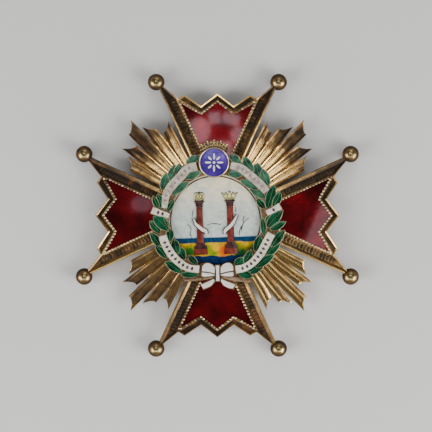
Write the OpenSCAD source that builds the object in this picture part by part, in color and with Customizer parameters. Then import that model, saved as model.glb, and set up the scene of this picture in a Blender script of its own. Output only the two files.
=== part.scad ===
// Breast star of an order, lying on its back: face up (+Z), top of the star towards +Y.
// The middle of the star is at X = Y = 0, and the balls and the feet of the pin rest on Z = 0.

/* [Star] */
// Distance of a ball's centre from the middle, measured along its arm
ball_reach = 35.9; // [35:0.1:37]
// Distance of a ball's centre from the centre line of its arm
ball_side = 16.5; // [16.2:0.1:16.8]
// Diameter of a ball
ball_d = 4.5; // [4:0.1:4.7]
// How steeply the arms and rays fall away from the middle, in degrees
fall = 5; // [4.5:0.25:5.5]

/* [Arms] */
// Thickness of an arm's base plate
plate_t = 1.0; // [0.8:0.1:1.1]
// Width of the raised rim round an arm
rim_w = 0.8; // [0.6:0.1:0.9]
// Height of that rim above the base plate
rim_h = 0.55; // [0.4:0.05:0.7]
// Height of the wall round the enamel above the base plate
wall_h = 0.65; // [0.5:0.05:0.7]
// Width of that wall
wall_w = 0.65; // [0.5:0.05:0.7]
// Width of the rail and its channel, from the rim's outer edge to the middle of the wall
channel_w = 3.72; // [3.5:0.02:3.9]
// How much higher the red enamel is in its middle than at its edge
enamel_crown = 0.7; // [0.4:0.1:0.8]

/* [Rays] */
// Thickness of a ray in the bottom of its flute
ray_t = 0.5; // [0.4:0.05:0.7]
// Height of the ridges beside a flute, as a share of their distance from the middle
ridge_rise = 0.024; // [0.015:0.001:0.028]
// How deep the fork at a ray's tip is
fork_depth = 0.75; // [0.4:0.05:1]
// Distance from the middle at which the slits between the rays begin
slit_start = 23; // [21:0.5:24]

/* [Medallion] */
// Sideways place of the medallion
medallion_x = -0.5; // [-0.7:0.1:0]
// Lengthwise place of the medallion
medallion_y = -1.5; // [-1.7:0.1:-1.2]
// Radius of the opening in the wreath that shows the picture
picture_r = 12.5; // [12.3:0.1:12.6]
// How much higher the picture is in its middle than at its edge
picture_crown = 0.6; // [0.3:0.1:0.6]
// Thickness of the wreath's gilt plate
wreath_t = 0.6; // [0.5:0.05:0.8]
// Width of the gilt edge round leaves and ribbons
gilt_edge = 0.2; // [0.15:0.01:0.25]
// Height of a leaf along its middle vein
leaf_h = 0.42; // [0.3:0.02:0.5]
// Height of the ribbon along its middle
ribbon_h = 0.4; // [0.3:0.02:0.5]
// Radius of the small blue disc
blue_r = 3.75; // [3.6:0.05:3.75]

/* [Pin] */
// Diameter of the pin's wire
pin_d = 1.1; // [0.9:0.1:1.2]
// Distance between the hinge block and the catch
pin_span = 24; // [22:0.5:25]

/* [Hidden] */

GILT = "#b8904e";
RED = "#7d0c12";
GREEN = "#0f5c36";
WHITE = "#e9e2da";
BLUE = "#2a2a9a";

seat = 0.02;           // gap between pieces that rest on each other
lap = 0.1;             // how far fused shapes run into each other
ball_r = ball_d / 2;
pin_z = ball_r / 2;    // height of the pin's wire
drop = tan(fall);      // fall in height for each millimetre outwards
hub_z = ball_r + ball_reach * drop;   // height of the arms' mid plane at the middle

// Arms: r runs outwards along the arm's centre line, t sideways from it
arm_start = 8;         // where the base plate begins, under the medallion
face_start = 12.8;     // where rim, wall and enamel begin, under the medallion
rail_root = 0.1;       // distance of the rail's outer edge from the centre line, at the middle
peak_r = 32.9;         // middle point of the zigzag end
notch_r = 29.5;        // the two notches beside it
notch_t = 4.4;
corner_r = 32.5;       // the two outer points
corner_t = 8.8;
dip_r = 31.45;         // where the horn leaves the zigzag
dip_t = 10.5;
horn_r = 34.5;         // where the horn's inner edge meets the ball
horn_t = 14.3;
zigzag_gap = 2.1;      // from the zigzag's edge to the middle of the wall, along the arm
enamel_corner_r = 30.95;
enamel_clear = 0.05;   // between the wall and the enamel
enamel_edge = 0.55;    // height of the enamel's edge above the base plate

// Rays: tips of the five rays of a bundle, counted from the horizontal arm
// [angle of the first tip, its distance, angle of the second tip, its distance]
RAY_TIPS = [
    [27.3, 26.4, 33.6, 28.8],
    [35.0, 31.4, 40.9, 28.7],
    [42.2, 32.3, 47.8, 34.8],
    [49.5, 31.3, 54.8, 28.7],
    [56.8, 26.6, 62.5, 28.7]];
ray_start = 10;        // inner end of the rays, under the medallion
flute_steps = 4;       // flats across a flute
inner_steps = 2;       // stations from the inner end to the slits
outer_steps = 2;       // stations from there to the tips

// Medallion, from below: flange, picture and skirt of the wreath, plate of the wreath, enamels
back_r = 14;
back_z = 2.8;
post_r = 6;
flange_r = 15.4;
flange_z = hub_z + 0.22;
flange_t = 0.75;
picture_z = flange_z + flange_t + seat;
picture_edge = 0.45;   // thickness of the picture disc at its edge
picture_disc_r = picture_r + 0.8;
wreath_z = picture_z + picture_edge + 0.28;
skirt_r = 15.5;
face_z = wreath_z + wreath_t + seat;   // height at which leaves, ribbons and bow are seated
leaf_edge_h = 0.16;

// Leaves: [x and y of the base, x and y of the tip, width], from the medallion's centre
LEAVES_TOP_LEFT = [
    [-7.7, 15.6, -4.4, 17.35, 1.3],
    [-10.75, 12.6, -9.6, 15.2, 1.05],
    [-12.6, 11.0, -11.1, 14.8, 1.1],
    [-14.25, 8.3, -13.4, 12.5, 1.3],
    [-7.9, 11.4, -4.0, 13.0, 1.2],
    [-11.6, 7.0, -7.2, 10.3, 1.2]];
LEAVES_LEFT = [
    [-13.8, 3.2, -15.4, 7.1, 1.4],
    [-15.4, 3.5, -16.65, 6.6, 1.1],
    [-12.9, 2.7, -11.1, 5.6, 1.2],
    [-16.4, 1.0, -12.8, -2.5, 1.6],
    [-17.4, -0.2, -14.8, -3.2, 1.4],
    [-13.7, 0.8, -12.2, -1.8, 0.7]];
LEAVES_BOTTOM_LEFT = [
    [-12.0, -2.2, -12.1, -5.4, 1.3],
    [-10.9, -5.1, -10.0, -8.6, 1.3],
    [-9.5, -7.1, -8.2, -10.2, 1.3],
    [-7.2, -9.3, -4.9, -11.6, 1.2],
    [-17.3, -3.4, -14.5, -7.35, 1.2],
    [-15.88, -6.88, -13.15, -9.98, 1.1],
    [-13.2, -11.0, -9.2, -13.8, 1.4],
    [-9.1, -14.3, -4.7, -14.4, 1.1]];
LEAVES_TOP_RIGHT = [
    [4.0, 17.65, 6.8, 15.5, 1.3],
    [7.7, 16.9, 10.1, 13.4, 1.3],
    [11.2, 15.3, 12.3, 11.6, 1.2],
    [12.7, 13.6, 14.3, 9.5, 1.3],
    [3.6, 12.6, 6.9, 12.1, 1.2],
    [6.8, 10.7, 11.3, 8.4, 1.1],
    [9.2, 8.6, 13.2, 6.0, 1.1]];
LEAVES_RIGHT = [
    [13.9, 3.6, 15.6, 9.4, 1.8],
    [15.3, 4.0, 17.1, 7.7, 1.0],
    [11.1, 5.9, 13.1, 3.3, 1.3],
    [14.0, -1.6, 17.8, 2.6, 1.5],
    [13.5, -0.3, 14.9, 1.5, 0.7],
    [14.8, -2.3, 18.6, -0.3, 1.3],
    [12.5, 0.8, 13.0, -3.9, 1.1]];
LEAVES_BOTTOM_RIGHT = [
    [10.6, -8.0, 11.9, -3.9, 1.4],
    [7.7, -10.9, 9.4, -7.8, 1.1],
    [5.1, -11.6, 7.4, -9.8, 1.2],
    [15.1, -6.7, 18.3, -2.7, 1.4],
    [13.8, -9.1, 17.1, -6.1, 1.3],
    [11.0, -12.2, 15.4, -9.3, 1.3],
    [8.75, -13.9, 12.6, -12.35, 1.2],
    [6.3, -14.2, 9.8, -14.9, 1.2]];
STEMS = [
    [-8.4, -15.9, -0.5, -15.0, 0.8],
    [1.7, -15.0, 9.6, -16.1, 1.0]];

// Ribbon and bow: [x, y, width] at points along the middle of each stretch
RIBBON_TOP_LEFT = [
    [-5.0, 14.6, 2.4],
    [-7.6, 13.8, 2.35],
    [-9.5, 11.7, 2.35],
    [-11.9, 9.1, 2.35],
    [-13.0, 7.4, 2.0],
    [-13.5, 4.9, 0.4]];
RIBBON_LEFT = [
    [-17.0, 2.9, 1.9],
    [-15.2, 2.2, 1.8],
    [-13.6, 1.75, 1.5],
    [-12.4, 1.3, 1.5]];
RIBBON_BOTTOM_LEFT = [
    [-14.1, -3.9, 2.2],
    [-13.5, -5.9, 2.3],
    [-11.7, -9.0, 2.3],
    [-9.4, -11.3, 2.2],
    [-7.0, -12.6, 2.0],
    [-4.3, -12.9, 2.1]];
RIBBON_TOP_RIGHT = [
    [4.0, 14.8, 1.9],
    [6.6, 14.1, 2.3],
    [9.1, 12.2, 2.35],
    [11.7, 10.0, 2.35],
    [13.7, 7.8, 1.9]];
RIBBON_RIGHT = [
    [13.6, 2.1, 1.6],
    [15.2, 2.8, 1.6],
    [16.3, 3.4, 1.7],
    [17.3, 3.95, 2.0]];
RIBBON_BOTTOM_RIGHT = [
    [5.3, -13.0, 2.2],
    [7.7, -12.5, 2.15],
    [10.1, -10.9, 2.2],
    [12.3, -8.2, 2.3],
    [14.0, -5.0, 2.3],
    [14.9, -3.4, 2.3]];
BOW_KNOT = [
    [0.6, -11.8, 1.0],
    [0.6, -14.0, 0.9],
    [0.6, -16.1, 1.1]];
BOW_LEFT_LOOP = [
    [-0.3, -13.3, 2.0],
    [-1.4, -13.1, 3.1],
    [-2.8, -12.9, 3.3],
    [-3.9, -13.1, 2.2]];
BOW_RIGHT_LOOP = [
    [1.5, -13.3, 2.0],
    [2.5, -13.1, 3.1],
    [3.7, -12.9, 3.2],
    [4.5, -13.1, 2.4]];
BOW_LEFT_TAIL = [
    [-0.4, -15.9, 0.8],
    [-1.8, -16.8, 1.5],
    [-3.5, -17.6, 1.4]];
BOW_RIGHT_TAIL = [
    [1.6, -15.9, 0.8],
    [3.1, -16.8, 1.5],
    [5.0, -17.6, 1.4]];
RIBBONS_AND_BOW = [RIBBON_TOP_LEFT, RIBBON_LEFT, RIBBON_BOTTOM_LEFT, RIBBON_TOP_RIGHT, RIBBON_RIGHT,
    RIBBON_BOTTOM_RIGHT, BOW_KNOT, BOW_LEFT_LOOP, BOW_RIGHT_LOOP, BOW_LEFT_TAIL, BOW_RIGHT_TAIL];
LEAVES_AND_STEMS = concat(LEAVES_TOP_LEFT, LEAVES_LEFT, LEAVES_BOTTOM_LEFT, LEAVES_TOP_RIGHT, LEAVES_RIGHT,
    LEAVES_BOTTOM_RIGHT, STEMS);

// Blue disc and crown
disc_x = -0.4;
disc_y = 15.6;
setting_wall = 0.3;
setting_h = 0.9;
setting_floor = 0.35;
blue_clear = 0.04;
blue_crown = 0.45;
crown_band_r = 4.25;   // the crown's band bends round the setting
crown_band_w = 0.6;
crown_half = 44;       // half of the angle that the band spans
crown_t = 0.9;
crown_points = 5;
point_inset = 8;       // angle between the band's end and its outer points
point_w = 0.9;
point_h = 0.75;
pearl_r = 0.55;

function mix(a, b, s) = a + (b - a) * s;
function reversed(v) = [for (i = [len(v) - 1:-1:0]) v[i]];
function rail(r) = mix(rail_root, ball_side, r / ball_reach);
// An outline given for one side of the centre line, from the inner end to a last point on the line
function both_sides(half) = concat(half, [for (i = [len(half) - 2:-1:0]) [half[i].x, -half[i].y]]);

arm_outline = both_sides([
    [arm_start, rail(arm_start)],
    [ball_reach, rail(ball_reach)],
    [horn_r, horn_t],
    [dip_r, dip_t],
    [corner_r, corner_t],
    [notch_r, notch_t],
    [peak_r, 0]]);

// Line round the enamel: the middle of the wall, moved inwards by the inset with mitred corners
function wall_line(inset) = both_sides([
    [face_start, rail(face_start) - channel_w - inset],
    [enamel_corner_r - inset * 2.6, rail(enamel_corner_r) - channel_w - inset * 2.25],
    [notch_r - zigzag_gap - inset * 1.23, notch_t],
    [peak_r - zigzag_gap - inset * 1.26, 0]]);

// Points added to an outline so that no edge is longer than the step
function finer(outline, step) = [
    for (i = [0:len(outline) - 1])
        let (a = outline[i], b = outline[(i + 1) % len(outline)], parts = ceil(norm(b - a) / step))
            for (k = [0:parts - 1]) mix(a, b, k / parts)];

// Closed body through sections with equal numbers of points, turned the same way
module loft(sections) {
    n = len(sections[0]);
    last = len(sections) - 1;
    polyhedron(
        points = [for (s = sections) each s],
        faces = concat(
            [for (j = [0:last - 1], i = [0:n - 1]) [j * n + i, j * n + (i + 1) % n, (j + 1) * n + i]],
            [for (j = [0:last - 1], i = [0:n - 1])
                [j * n + (i + 1) % n, (j + 1) * n + (i + 1) % n, (j + 1) * n + i]],
            [for (i = [1:n - 2]) [0, i + 1, i]],
            [for (i = [1:n - 2]) [last * n, last * n + i, last * n + i + 1]]));
}

// Section across a leaf or ribbon: flat below, low at both edges, high in the middle
function strip_section(p, side, w, edge_h, mid_h) = [
    [p.x - side.x * w / 2, p.y - side.y * w / 2, 0],
    [p.x - side.x * w / 2, p.y - side.y * w / 2, edge_h],
    [p.x - side.x * w / 4, p.y - side.y * w / 4, mix(edge_h, mid_h, 0.72)],
    [p.x, p.y, mid_h],
    [p.x + side.x * w / 4, p.y + side.y * w / 4, mix(edge_h, mid_h, 0.72)],
    [p.x + side.x * w / 2, p.y + side.y * w / 2, edge_h],
    [p.x + side.x * w / 2, p.y + side.y * w / 2, 0]];

// Share of its full width that a leaf has at s, from 0 at the base to 1 at the tip
function leaf_share(s) = max(0.1, pow(sin(180 * pow(s, 0.9)), 0.8));

leaf_steps = 6;
module leaf(row) {
    base = [row[0], row[1]];
    tip = [row[2], row[3]];
    along = (tip - base) / norm(tip - base);
    side = [-along.y, along.x];
    loft([for (i = [0:leaf_steps])
        let (s = i / leaf_steps, w = row[4] * leaf_share(s))
            strip_section(mix(base, tip, s), side, w, leaf_edge_h, mix(leaf_edge_h, leaf_h, leaf_share(s)))]);
}

module leaf_outline(row) {
    base = [row[0], row[1]];
    tip = [row[2], row[3]];
    along = (tip - base) / norm(tip - base);
    side = [-along.y, along.x];
    half = [for (i = [0:leaf_steps]) let (s = i / leaf_steps) [s, row[4] / 2 * leaf_share(s)]];
    polygon(concat(
        [for (h = half) mix(base, tip, h[0]) + side * h[1]],
        [for (h = reversed(half)) mix(base, tip, h[0]) - side * h[1]]));
}

// A smooth curve through the points of a table, with its width
function spline(a, b, c, d, s) =
    0.5 * (2 * b + (c - a) * s + (2 * a - 5 * b + 4 * c - d) * s * s + (3 * b - a - 3 * c + d) * s * s * s);
spline_steps = 3;
function curve(rows) = [
    for (i = [0:len(rows) - 2], k = [0:spline_steps - 1])
        spline(rows[max(i - 1, 0)], rows[i], rows[i + 1], rows[min(i + 2, len(rows) - 1)], k / spline_steps),
    rows[len(rows) - 1]];
// Unit vector to the left of a curve at its point i
function left_of(path, i) =
    let (a = path[max(i - 1, 0)], b = path[min(i + 1, len(path) - 1)], d = [b.x - a.x, b.y - a.y])
        [-d.y, d.x] / norm(d);

module strip(rows) {
    path = curve(rows);
    loft([for (i = [0:len(path) - 1])
        strip_section([path[i].x, path[i].y], left_of(path, i), path[i].z, leaf_edge_h, ribbon_h)]);
}

module strip_outline(rows) {
    path = curve(rows);
    polygon(concat(
        [for (i = [0:len(path) - 1]) [path[i].x, path[i].y] + left_of(path, i) * path[i].z / 2],
        [for (i = [len(path) - 1:-1:0]) [path[i].x, path[i].y] - left_of(path, i) * path[i].z / 2]));
}

module on_medallion(z) {
    translate([medallion_x, medallion_y, z]) children();
}

// Arms

module arm_frame_face() {
    difference() {
        polygon(arm_outline);
        offset(delta = -rim_w) polygon(arm_outline);
    }
}

module arm(turn) {
    color(GILT) rotate([0, 0, turn]) {
        translate([0, 0, hub_z]) rotate([0, fall, 0]) {
            translate([0, 0, -plate_t / 2]) linear_extrude(plate_t) polygon(arm_outline);
            translate([0, 0, plate_t / 2 - lap]) linear_extrude(rim_h + lap) intersection() {
                arm_frame_face();
                translate([face_start, -ball_reach / 2]) square(ball_reach);
            }
            translate([0, 0, plate_t / 2 - lap]) linear_extrude(wall_h + lap) difference() {
                polygon(wall_line(-wall_w / 2));
                polygon(wall_line(wall_w / 2));
            }
        }
        for (side = [-1, 1]) translate([ball_reach, side * ball_side, ball_r]) sphere(ball_r, $fn = 48);
    }
}

// Crowned enamel: rings that shrink towards one point in the middle of the arm
module enamel(turn) {
    outline = finer(wall_line(wall_w / 2 + enamel_clear), 1.4);
    middle = [23, 0];
    rings = [1, 0.93, 0.8, 0.6, 0.3];
    n = len(outline);
    m = len(rings);
    bottom = plate_t / 2 + seat;
    edge = plate_t / 2 + enamel_edge;
    color(RED) rotate([0, 0, turn]) translate([0, 0, hub_z]) rotate([0, fall, 0]) polyhedron(
        points = concat(
            [for (p = outline) [p.x, p.y, bottom]],
            [for (f = rings, p = outline)
                let (q = mix(middle, p, f)) [q.x, q.y, edge + enamel_crown * (1 - pow(f, 2.5))]],
            [[middle.x, middle.y, edge + enamel_crown], [middle.x, middle.y, bottom]]),
        faces = concat(
            [for (j = [0:m - 1], i = [0:n - 1]) [j * n + i, j * n + (i + 1) % n, (j + 1) * n + i]],
            [for (j = [0:m - 1], i = [0:n - 1])
                [j * n + (i + 1) % n, (j + 1) * n + (i + 1) % n, (j + 1) * n + i]],
            [for (i = [0:n - 1]) [m * n + i, m * n + (i + 1) % n, (m + 1) * n]],
            [for (i = [0:n - 1]) [(i + 1) % n, i, (m + 1) * n + 1]]));
}

// Rays: a bundle is one body, joined from its inner end to the slits and split into five fingers beyond them

ray_count = len(RAY_TIPS);
across = ray_count * flute_steps + 1;
stations = inner_steps + outer_steps;
// Angle of the ridge at the left (0) or right (1) of a ray, in the joined part
function ridge_angle(ray, edge) =
    ray + edge == 0 ? RAY_TIPS[0][0]
    : ray + edge == ray_count ? RAY_TIPS[ray_count - 1][2]
    : (RAY_TIPS[ray + edge - 1][2] + RAY_TIPS[ray + edge][0]) / 2;
// Place of a point of a ray: u runs across it from 0 to 1, station outwards
function ray_xy(ray, u, station) =
    let (
        inner_a = mix(ridge_angle(ray, 0), ridge_angle(ray, 1), u),
        tips = RAY_TIPS[ray],
        tip_a = mix(tips[0], tips[2], u),
        tip_r = mix(tips[1], tips[3], u) - fork_depth * 4 * u * (1 - u),
        out = max(0, station - inner_steps) / outer_steps,
        r = station <= inner_steps
            ? mix(ray_start, slit_start, station / inner_steps)
            : mix(slit_start, tip_r, out),
        a = mix(inner_a, tip_a, out))
    [r * cos(a), r * sin(a)];
function ray_bottom(xy) = hub_z - plate_t / 2 + seat - norm(xy) * drop;
function ray_top(xy, u) = ray_bottom(xy) + ray_t + ridge_rise * norm(xy) * pow(2 * u - 1, 2);

inner_points = [for (station = [0:inner_steps], k = [0:across - 1])
    let (ray = min(floor(k / flute_steps), ray_count - 1), u = k / flute_steps - ray)
        [each ray_xy(ray, u, station), u]];
outer_points = [for (ray = [0:ray_count - 1], station = [inner_steps + 1:stations], i = [0:flute_steps])
    [each ray_xy(ray, i / flute_steps, station), i / flute_steps]];
bundle_points = concat(inner_points, outer_points);
function ray_index(ray, station, i) =
    station <= inner_steps
        ? station * across + ray * flute_steps + i
        : len(inner_points) + (ray * outer_steps + station - inner_steps - 1) * (flute_steps + 1) + i;

// Two triangles for each quad, with the corners given anticlockwise seen from inside the body
function quads(list) = [for (q = list) each [[q[0], q[1], q[2]], [q[0], q[2], q[3]]]];

module ray_bundle(turn, flip) {
    below = len(bundle_points);
    cells = [for (ray = [0:ray_count - 1], s = [0:stations - 1], i = [0:flute_steps - 1]) [
        ray_index(ray, s, i),
        ray_index(ray, s, i + 1),
        ray_index(ray, s + 1, i + 1),
        ray_index(ray, s + 1, i)]];
    ends = [for (ray = [0:ray_count - 1], i = [0:flute_steps - 1], s = [0, stations])
        s == 0
            ? [ray_index(ray, 0, i), ray_index(ray, 0, i + 1)]
            : [ray_index(ray, stations, i + 1), ray_index(ray, stations, i)]];
    sides = [for (ray = [0:ray_count - 1], s = [0:stations - 1])
        each concat(
            ray == 0 || s >= inner_steps ? [[ray_index(ray, s + 1, 0), ray_index(ray, s, 0)]] : [],
            ray == ray_count - 1 || s >= inner_steps
                ? [[ray_index(ray, s, flute_steps), ray_index(ray, s + 1, flute_steps)]]
                : [])];
    color(GILT) rotate([0, 0, turn]) mirror([0, flip ? 1 : 0, 0]) polyhedron(
        points = concat(
            [for (p = bundle_points) [p.x, p.y, ray_top([p.x, p.y], p.z)]],
            [for (p = bundle_points) [p.x, p.y, ray_bottom([p.x, p.y])]]),
        faces = quads(concat(
            cells,
            [for (c = cells) [c[3] + below, c[2] + below, c[1] + below, c[0] + below]],
            [for (e = concat(ends, sides)) [e[1], e[0], e[0] + below, e[1] + below]])));
}

// Back

module back_plate() {
    top_z = hub_z - plate_t / 2 - seat;
    color(GILT) rotate_extrude($fn = 96) polygon([
        [0, back_z],
        [back_r, back_z],
        [back_r, top_z - back_r * drop],
        [post_r, top_z - post_r * drop],
        [0, top_z - post_r * drop]]);
}

module brooch_pin() {
    foot = [4, 3];
    color(GILT) {
        for (side = [-1, 1])
            translate([-foot.x / 2, side * pin_span / 2 - foot.y / 2, 0])
                cube([foot.x, foot.y, back_z - seat]);
        translate([0, pin_span / 2, pin_z])
            rotate([90, 0, 0]) cylinder(h = pin_span, d = pin_d, $fn = 32);
    }
}

// Medallion

module medallion_base() {
    post_z = hub_z - plate_t / 2 - post_r * drop;
    color(GILT) {
        on_medallion(flange_z) cylinder(h = flange_t, r = flange_r, $fn = 96);
        translate([0, 0, post_z]) cylinder(h = flange_z - post_z + lap, r = post_r - 0.5, $fn = 64);
    }
}

module picture_disc() {
    dome_r = (picture_disc_r * picture_disc_r + picture_crown * picture_crown) / (2 * picture_crown);
    color(WHITE) on_medallion(picture_z) intersection() {
        cylinder(h = picture_edge + picture_crown + 1, r = picture_disc_r, $fn = 96);
        translate([0, 0, picture_edge + picture_crown - dome_r]) sphere(dome_r, $fn = 256);
    }
}

module at_crown_points() {
    for (i = [0:crown_points - 1])
        rotate([0, 0, mix(-crown_half + point_inset, crown_half - point_inset, i / (crown_points - 1))])
            translate([0, crown_band_r + crown_band_w, 0]) children();
}

module crown_outline() {
    translate([disc_x, disc_y]) {
        polygon(concat(
            [for (a = [90 - crown_half:4:90 + crown_half]) crown_band_r * [cos(a), sin(a)]],
            [for (a = [90 + crown_half:-4:90 - crown_half])
                (crown_band_r + crown_band_w) * [cos(a), sin(a)]]));
        at_crown_points() translate([-point_w / 2, -lap]) square([point_w, point_h]);
    }
}

module wreath_plate() {
    color(GILT) {
        on_medallion(wreath_z) linear_extrude(wreath_t) offset(delta = gilt_edge) {
            for (row = LEAVES_AND_STEMS) leaf_outline(row);
            for (rows = RIBBONS_AND_BOW) strip_outline(rows);
            crown_outline();
            translate([disc_x, disc_y]) circle(blue_r + setting_wall - gilt_edge, $fn = 48);
            difference() {
                circle(skirt_r - gilt_edge, $fn = 90);
                circle(picture_r + gilt_edge, $fn = 90);
            }
        }
        on_medallion(picture_z) difference() {
            cylinder(h = wreath_z - picture_z + lap, r = skirt_r - 0.15, $fn = 96);
            translate([0, 0, -1])
                cylinder(h = wreath_z - picture_z + 1.5, r = picture_disc_r + lap, $fn = 96);
        }
    }
}

module leaves(rows) {
    color(GREEN) on_medallion(face_z) for (row = rows) leaf(row);
}

module stems() {
    color(GILT) on_medallion(face_z) for (row = STEMS) leaf(row);
}

module ribbon(rows) {
    color(WHITE) on_medallion(face_z) strip(rows);
}

module disc_setting() {
    color(GILT) on_medallion(face_z) translate([disc_x, disc_y, 0]) difference() {
        cylinder(h = setting_h, r = blue_r + setting_wall, $fn = 64);
        translate([0, 0, setting_floor]) cylinder(h = setting_h, r = blue_r, $fn = 64);
    }
}

module blue_disc() {
    r = blue_r - blue_clear;
    dome_r = (r * r + blue_crown * blue_crown) / (2 * blue_crown);
    edge_h = setting_h - setting_floor - seat - 0.1;
    color(BLUE) on_medallion(face_z + setting_floor + seat) translate([disc_x, disc_y, 0]) intersection() {
        cylinder(h = 3, r = r, $fn = 64);
        translate([0, 0, edge_h + blue_crown - dome_r]) sphere(dome_r, $fn = 128);
    }
}

module crown() {
    color(GILT) on_medallion(face_z) {
        linear_extrude(crown_t) crown_outline();
        translate([disc_x, disc_y, crown_t * 0.8]) at_crown_points()
            translate([0, point_h, 0]) sphere(pearl_r, $fn = 32);
    }
}

back_plate();
brooch_pin();
medallion_base();
picture_disc();
wreath_plate();
arm(90);  // arm_top
arm(0);  // arm_right
arm(270);  // arm_bottom
arm(180);  // arm_left
enamel(90);  // enamel_top
enamel(0);  // enamel_right
enamel(270);  // enamel_bottom
enamel(180);  // enamel_left
ray_bundle(0, false);  // rays_ne
ray_bundle(180, true);  // rays_nw
ray_bundle(180, false);  // rays_sw
ray_bundle(0, true);  // rays_se
leaves(LEAVES_TOP_LEFT);  // leaves_top_left
leaves(LEAVES_LEFT);  // leaves_left
leaves(LEAVES_BOTTOM_LEFT);  // leaves_bottom_left
leaves(LEAVES_TOP_RIGHT);  // leaves_top_right
leaves(LEAVES_RIGHT);  // leaves_right
leaves(LEAVES_BOTTOM_RIGHT);  // leaves_bottom_right
ribbon(RIBBON_TOP_LEFT);  // ribbon_top_left
ribbon(RIBBON_LEFT);  // ribbon_left
ribbon(RIBBON_BOTTOM_LEFT);  // ribbon_bottom_left
ribbon(RIBBON_TOP_RIGHT);  // ribbon_top_right
ribbon(RIBBON_RIGHT);  // ribbon_right
ribbon(RIBBON_BOTTOM_RIGHT);  // ribbon_bottom_right
ribbon(BOW_KNOT);  // bow_knot
ribbon(BOW_LEFT_LOOP);  // bow_left_loop
ribbon(BOW_RIGHT_LOOP);  // bow_right_loop
ribbon(BOW_LEFT_TAIL);  // bow_left_tail
ribbon(BOW_RIGHT_TAIL);  // bow_right_tail
stems();
disc_setting();
blue_disc();
crown();
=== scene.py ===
"""Looks of a gilt and enamelled breast star, lying face up on a pale floor in soft studio light."""

import random
from math import ceil, cos, exp, pi, radians, sin, sqrt, tan

import bpy
from mathutils import Matrix, Vector


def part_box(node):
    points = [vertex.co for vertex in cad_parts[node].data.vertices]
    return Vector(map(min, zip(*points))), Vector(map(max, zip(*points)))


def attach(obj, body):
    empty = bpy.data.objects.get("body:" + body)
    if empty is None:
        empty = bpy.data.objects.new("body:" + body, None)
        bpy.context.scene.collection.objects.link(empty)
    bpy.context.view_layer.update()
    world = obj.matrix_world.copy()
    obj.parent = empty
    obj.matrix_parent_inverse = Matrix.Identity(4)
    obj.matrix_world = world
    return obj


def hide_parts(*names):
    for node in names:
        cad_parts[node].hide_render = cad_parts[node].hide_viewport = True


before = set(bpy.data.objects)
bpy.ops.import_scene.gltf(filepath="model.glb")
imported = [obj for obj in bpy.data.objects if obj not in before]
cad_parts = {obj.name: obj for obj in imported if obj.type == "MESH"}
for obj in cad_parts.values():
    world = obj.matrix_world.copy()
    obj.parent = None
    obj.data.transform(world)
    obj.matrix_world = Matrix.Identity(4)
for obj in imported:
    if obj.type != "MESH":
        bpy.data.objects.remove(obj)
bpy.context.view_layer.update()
MM = 0.001

# Sizes of the star, in millimetres, as in its construction
BALL_REACH = 35.9
BALL_SIDE = 16.5
BALL_R = 2.25
FALL = radians(5)
HUB_Z = BALL_R + BALL_REACH * tan(FALL)
PLATE_T = 1.0
RAIL_ROOT = 0.1
CHANNEL_W = 3.72
ARMS = {"right": 0, "top": 90, "left": 180, "bottom": 270}
MEDALLION = Vector((-0.5, -1.5, 0))
PICTURE_TURN = radians(1.8)
PICTURE_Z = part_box("picture_disc")[0].z / MM
FACE_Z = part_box("leaves_left")[0].z / MM


# Building pieces

def mix(a, b, share):
    return a + (b - a) * share


def clamped(share):
    return max(0.0, min(1.0, share))


def turns(count):
    return [2 * pi * i / count for i in range(count)]


def heading(angle):
    return Vector((cos(angle), sin(angle), 0))


def spin(degrees):
    return Matrix.Rotation(radians(degrees), 4, "Z")


def upwards(height):
    return Vector((0, 0, height))


class Piece:
    """Points and faces of one piece in millimetres, with the patina and painted light (0 bright, 1 dark) of
    each point.

    Its grain, if any, gives each point a place on the streaks that run along rays.
    """

    def __init__(self):
        self.points = []
        self.patina_and_painted_light = []
        self.grain = []
        self.faces = []
        self.slots = []
        self.slot = 0

    def add(self, points, patina_and_painted_light=0.0):
        first = len(self.points)
        self.points += points
        self.patina_and_painted_light += [patina_and_painted_light] * len(points)
        return list(range(first, len(self.points)))

    def face(self, *corners):
        self.faces.append(corners)
        self.slots.append(self.slot)

    def band(self, a, b, closed=True):
        n = len(a)
        for i in range(n if closed else n - 1):
            j = (i + 1) % n
            self.face(a[i], a[j], b[j], b[i])

    def bands(self, rows, closed=True):
        for a, b in zip(rows, rows[1:]):
            self.band(a, b, closed)

    def cap(self, row, point, patina_and_painted_light=0.0):
        """Fan from a closed row to one point."""
        tip = self.add([point], patina_and_painted_light)[0]
        for i, corner in enumerate(row):
            self.face(corner, row[(i + 1) % len(row)], tip)

    def dome(self, spot, z, along, half_length, half_width, height, sides=12, steps=4, patina_and_painted_light=(0.0, 0.9)):
        """Half ellipsoid that stands at z, long along a direction; patina and painted light of its top and
        its foot.
        """
        centre = Vector((*spot[:2], z))
        along = Vector((along.x, along.y, 0))
        across = Vector((-along.y, along.x, 0))
        top, foot = patina_and_painted_light
        rows = []
        for k in range(steps):
            rise = pi / 2 * k / steps
            length, width = half_length * cos(rise), half_width * cos(rise)
            middle = centre + upwards(height * sin(rise))
            ring = [middle + along * length * cos(a) + across * width * sin(a) for a in turns(sides)]
            rows.append(self.add(ring, mix(foot, top, sin(rise))))
        self.bands(rows)
        self.cap(rows[-1], centre + upwards(height), top)

    def move(self, place):
        self.points = [place @ Vector(p) for p in self.points]


def add_object(name, data):
    obj = bpy.data.objects.new(name, data)
    bpy.context.scene.collection.objects.link(obj)
    return obj


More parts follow.
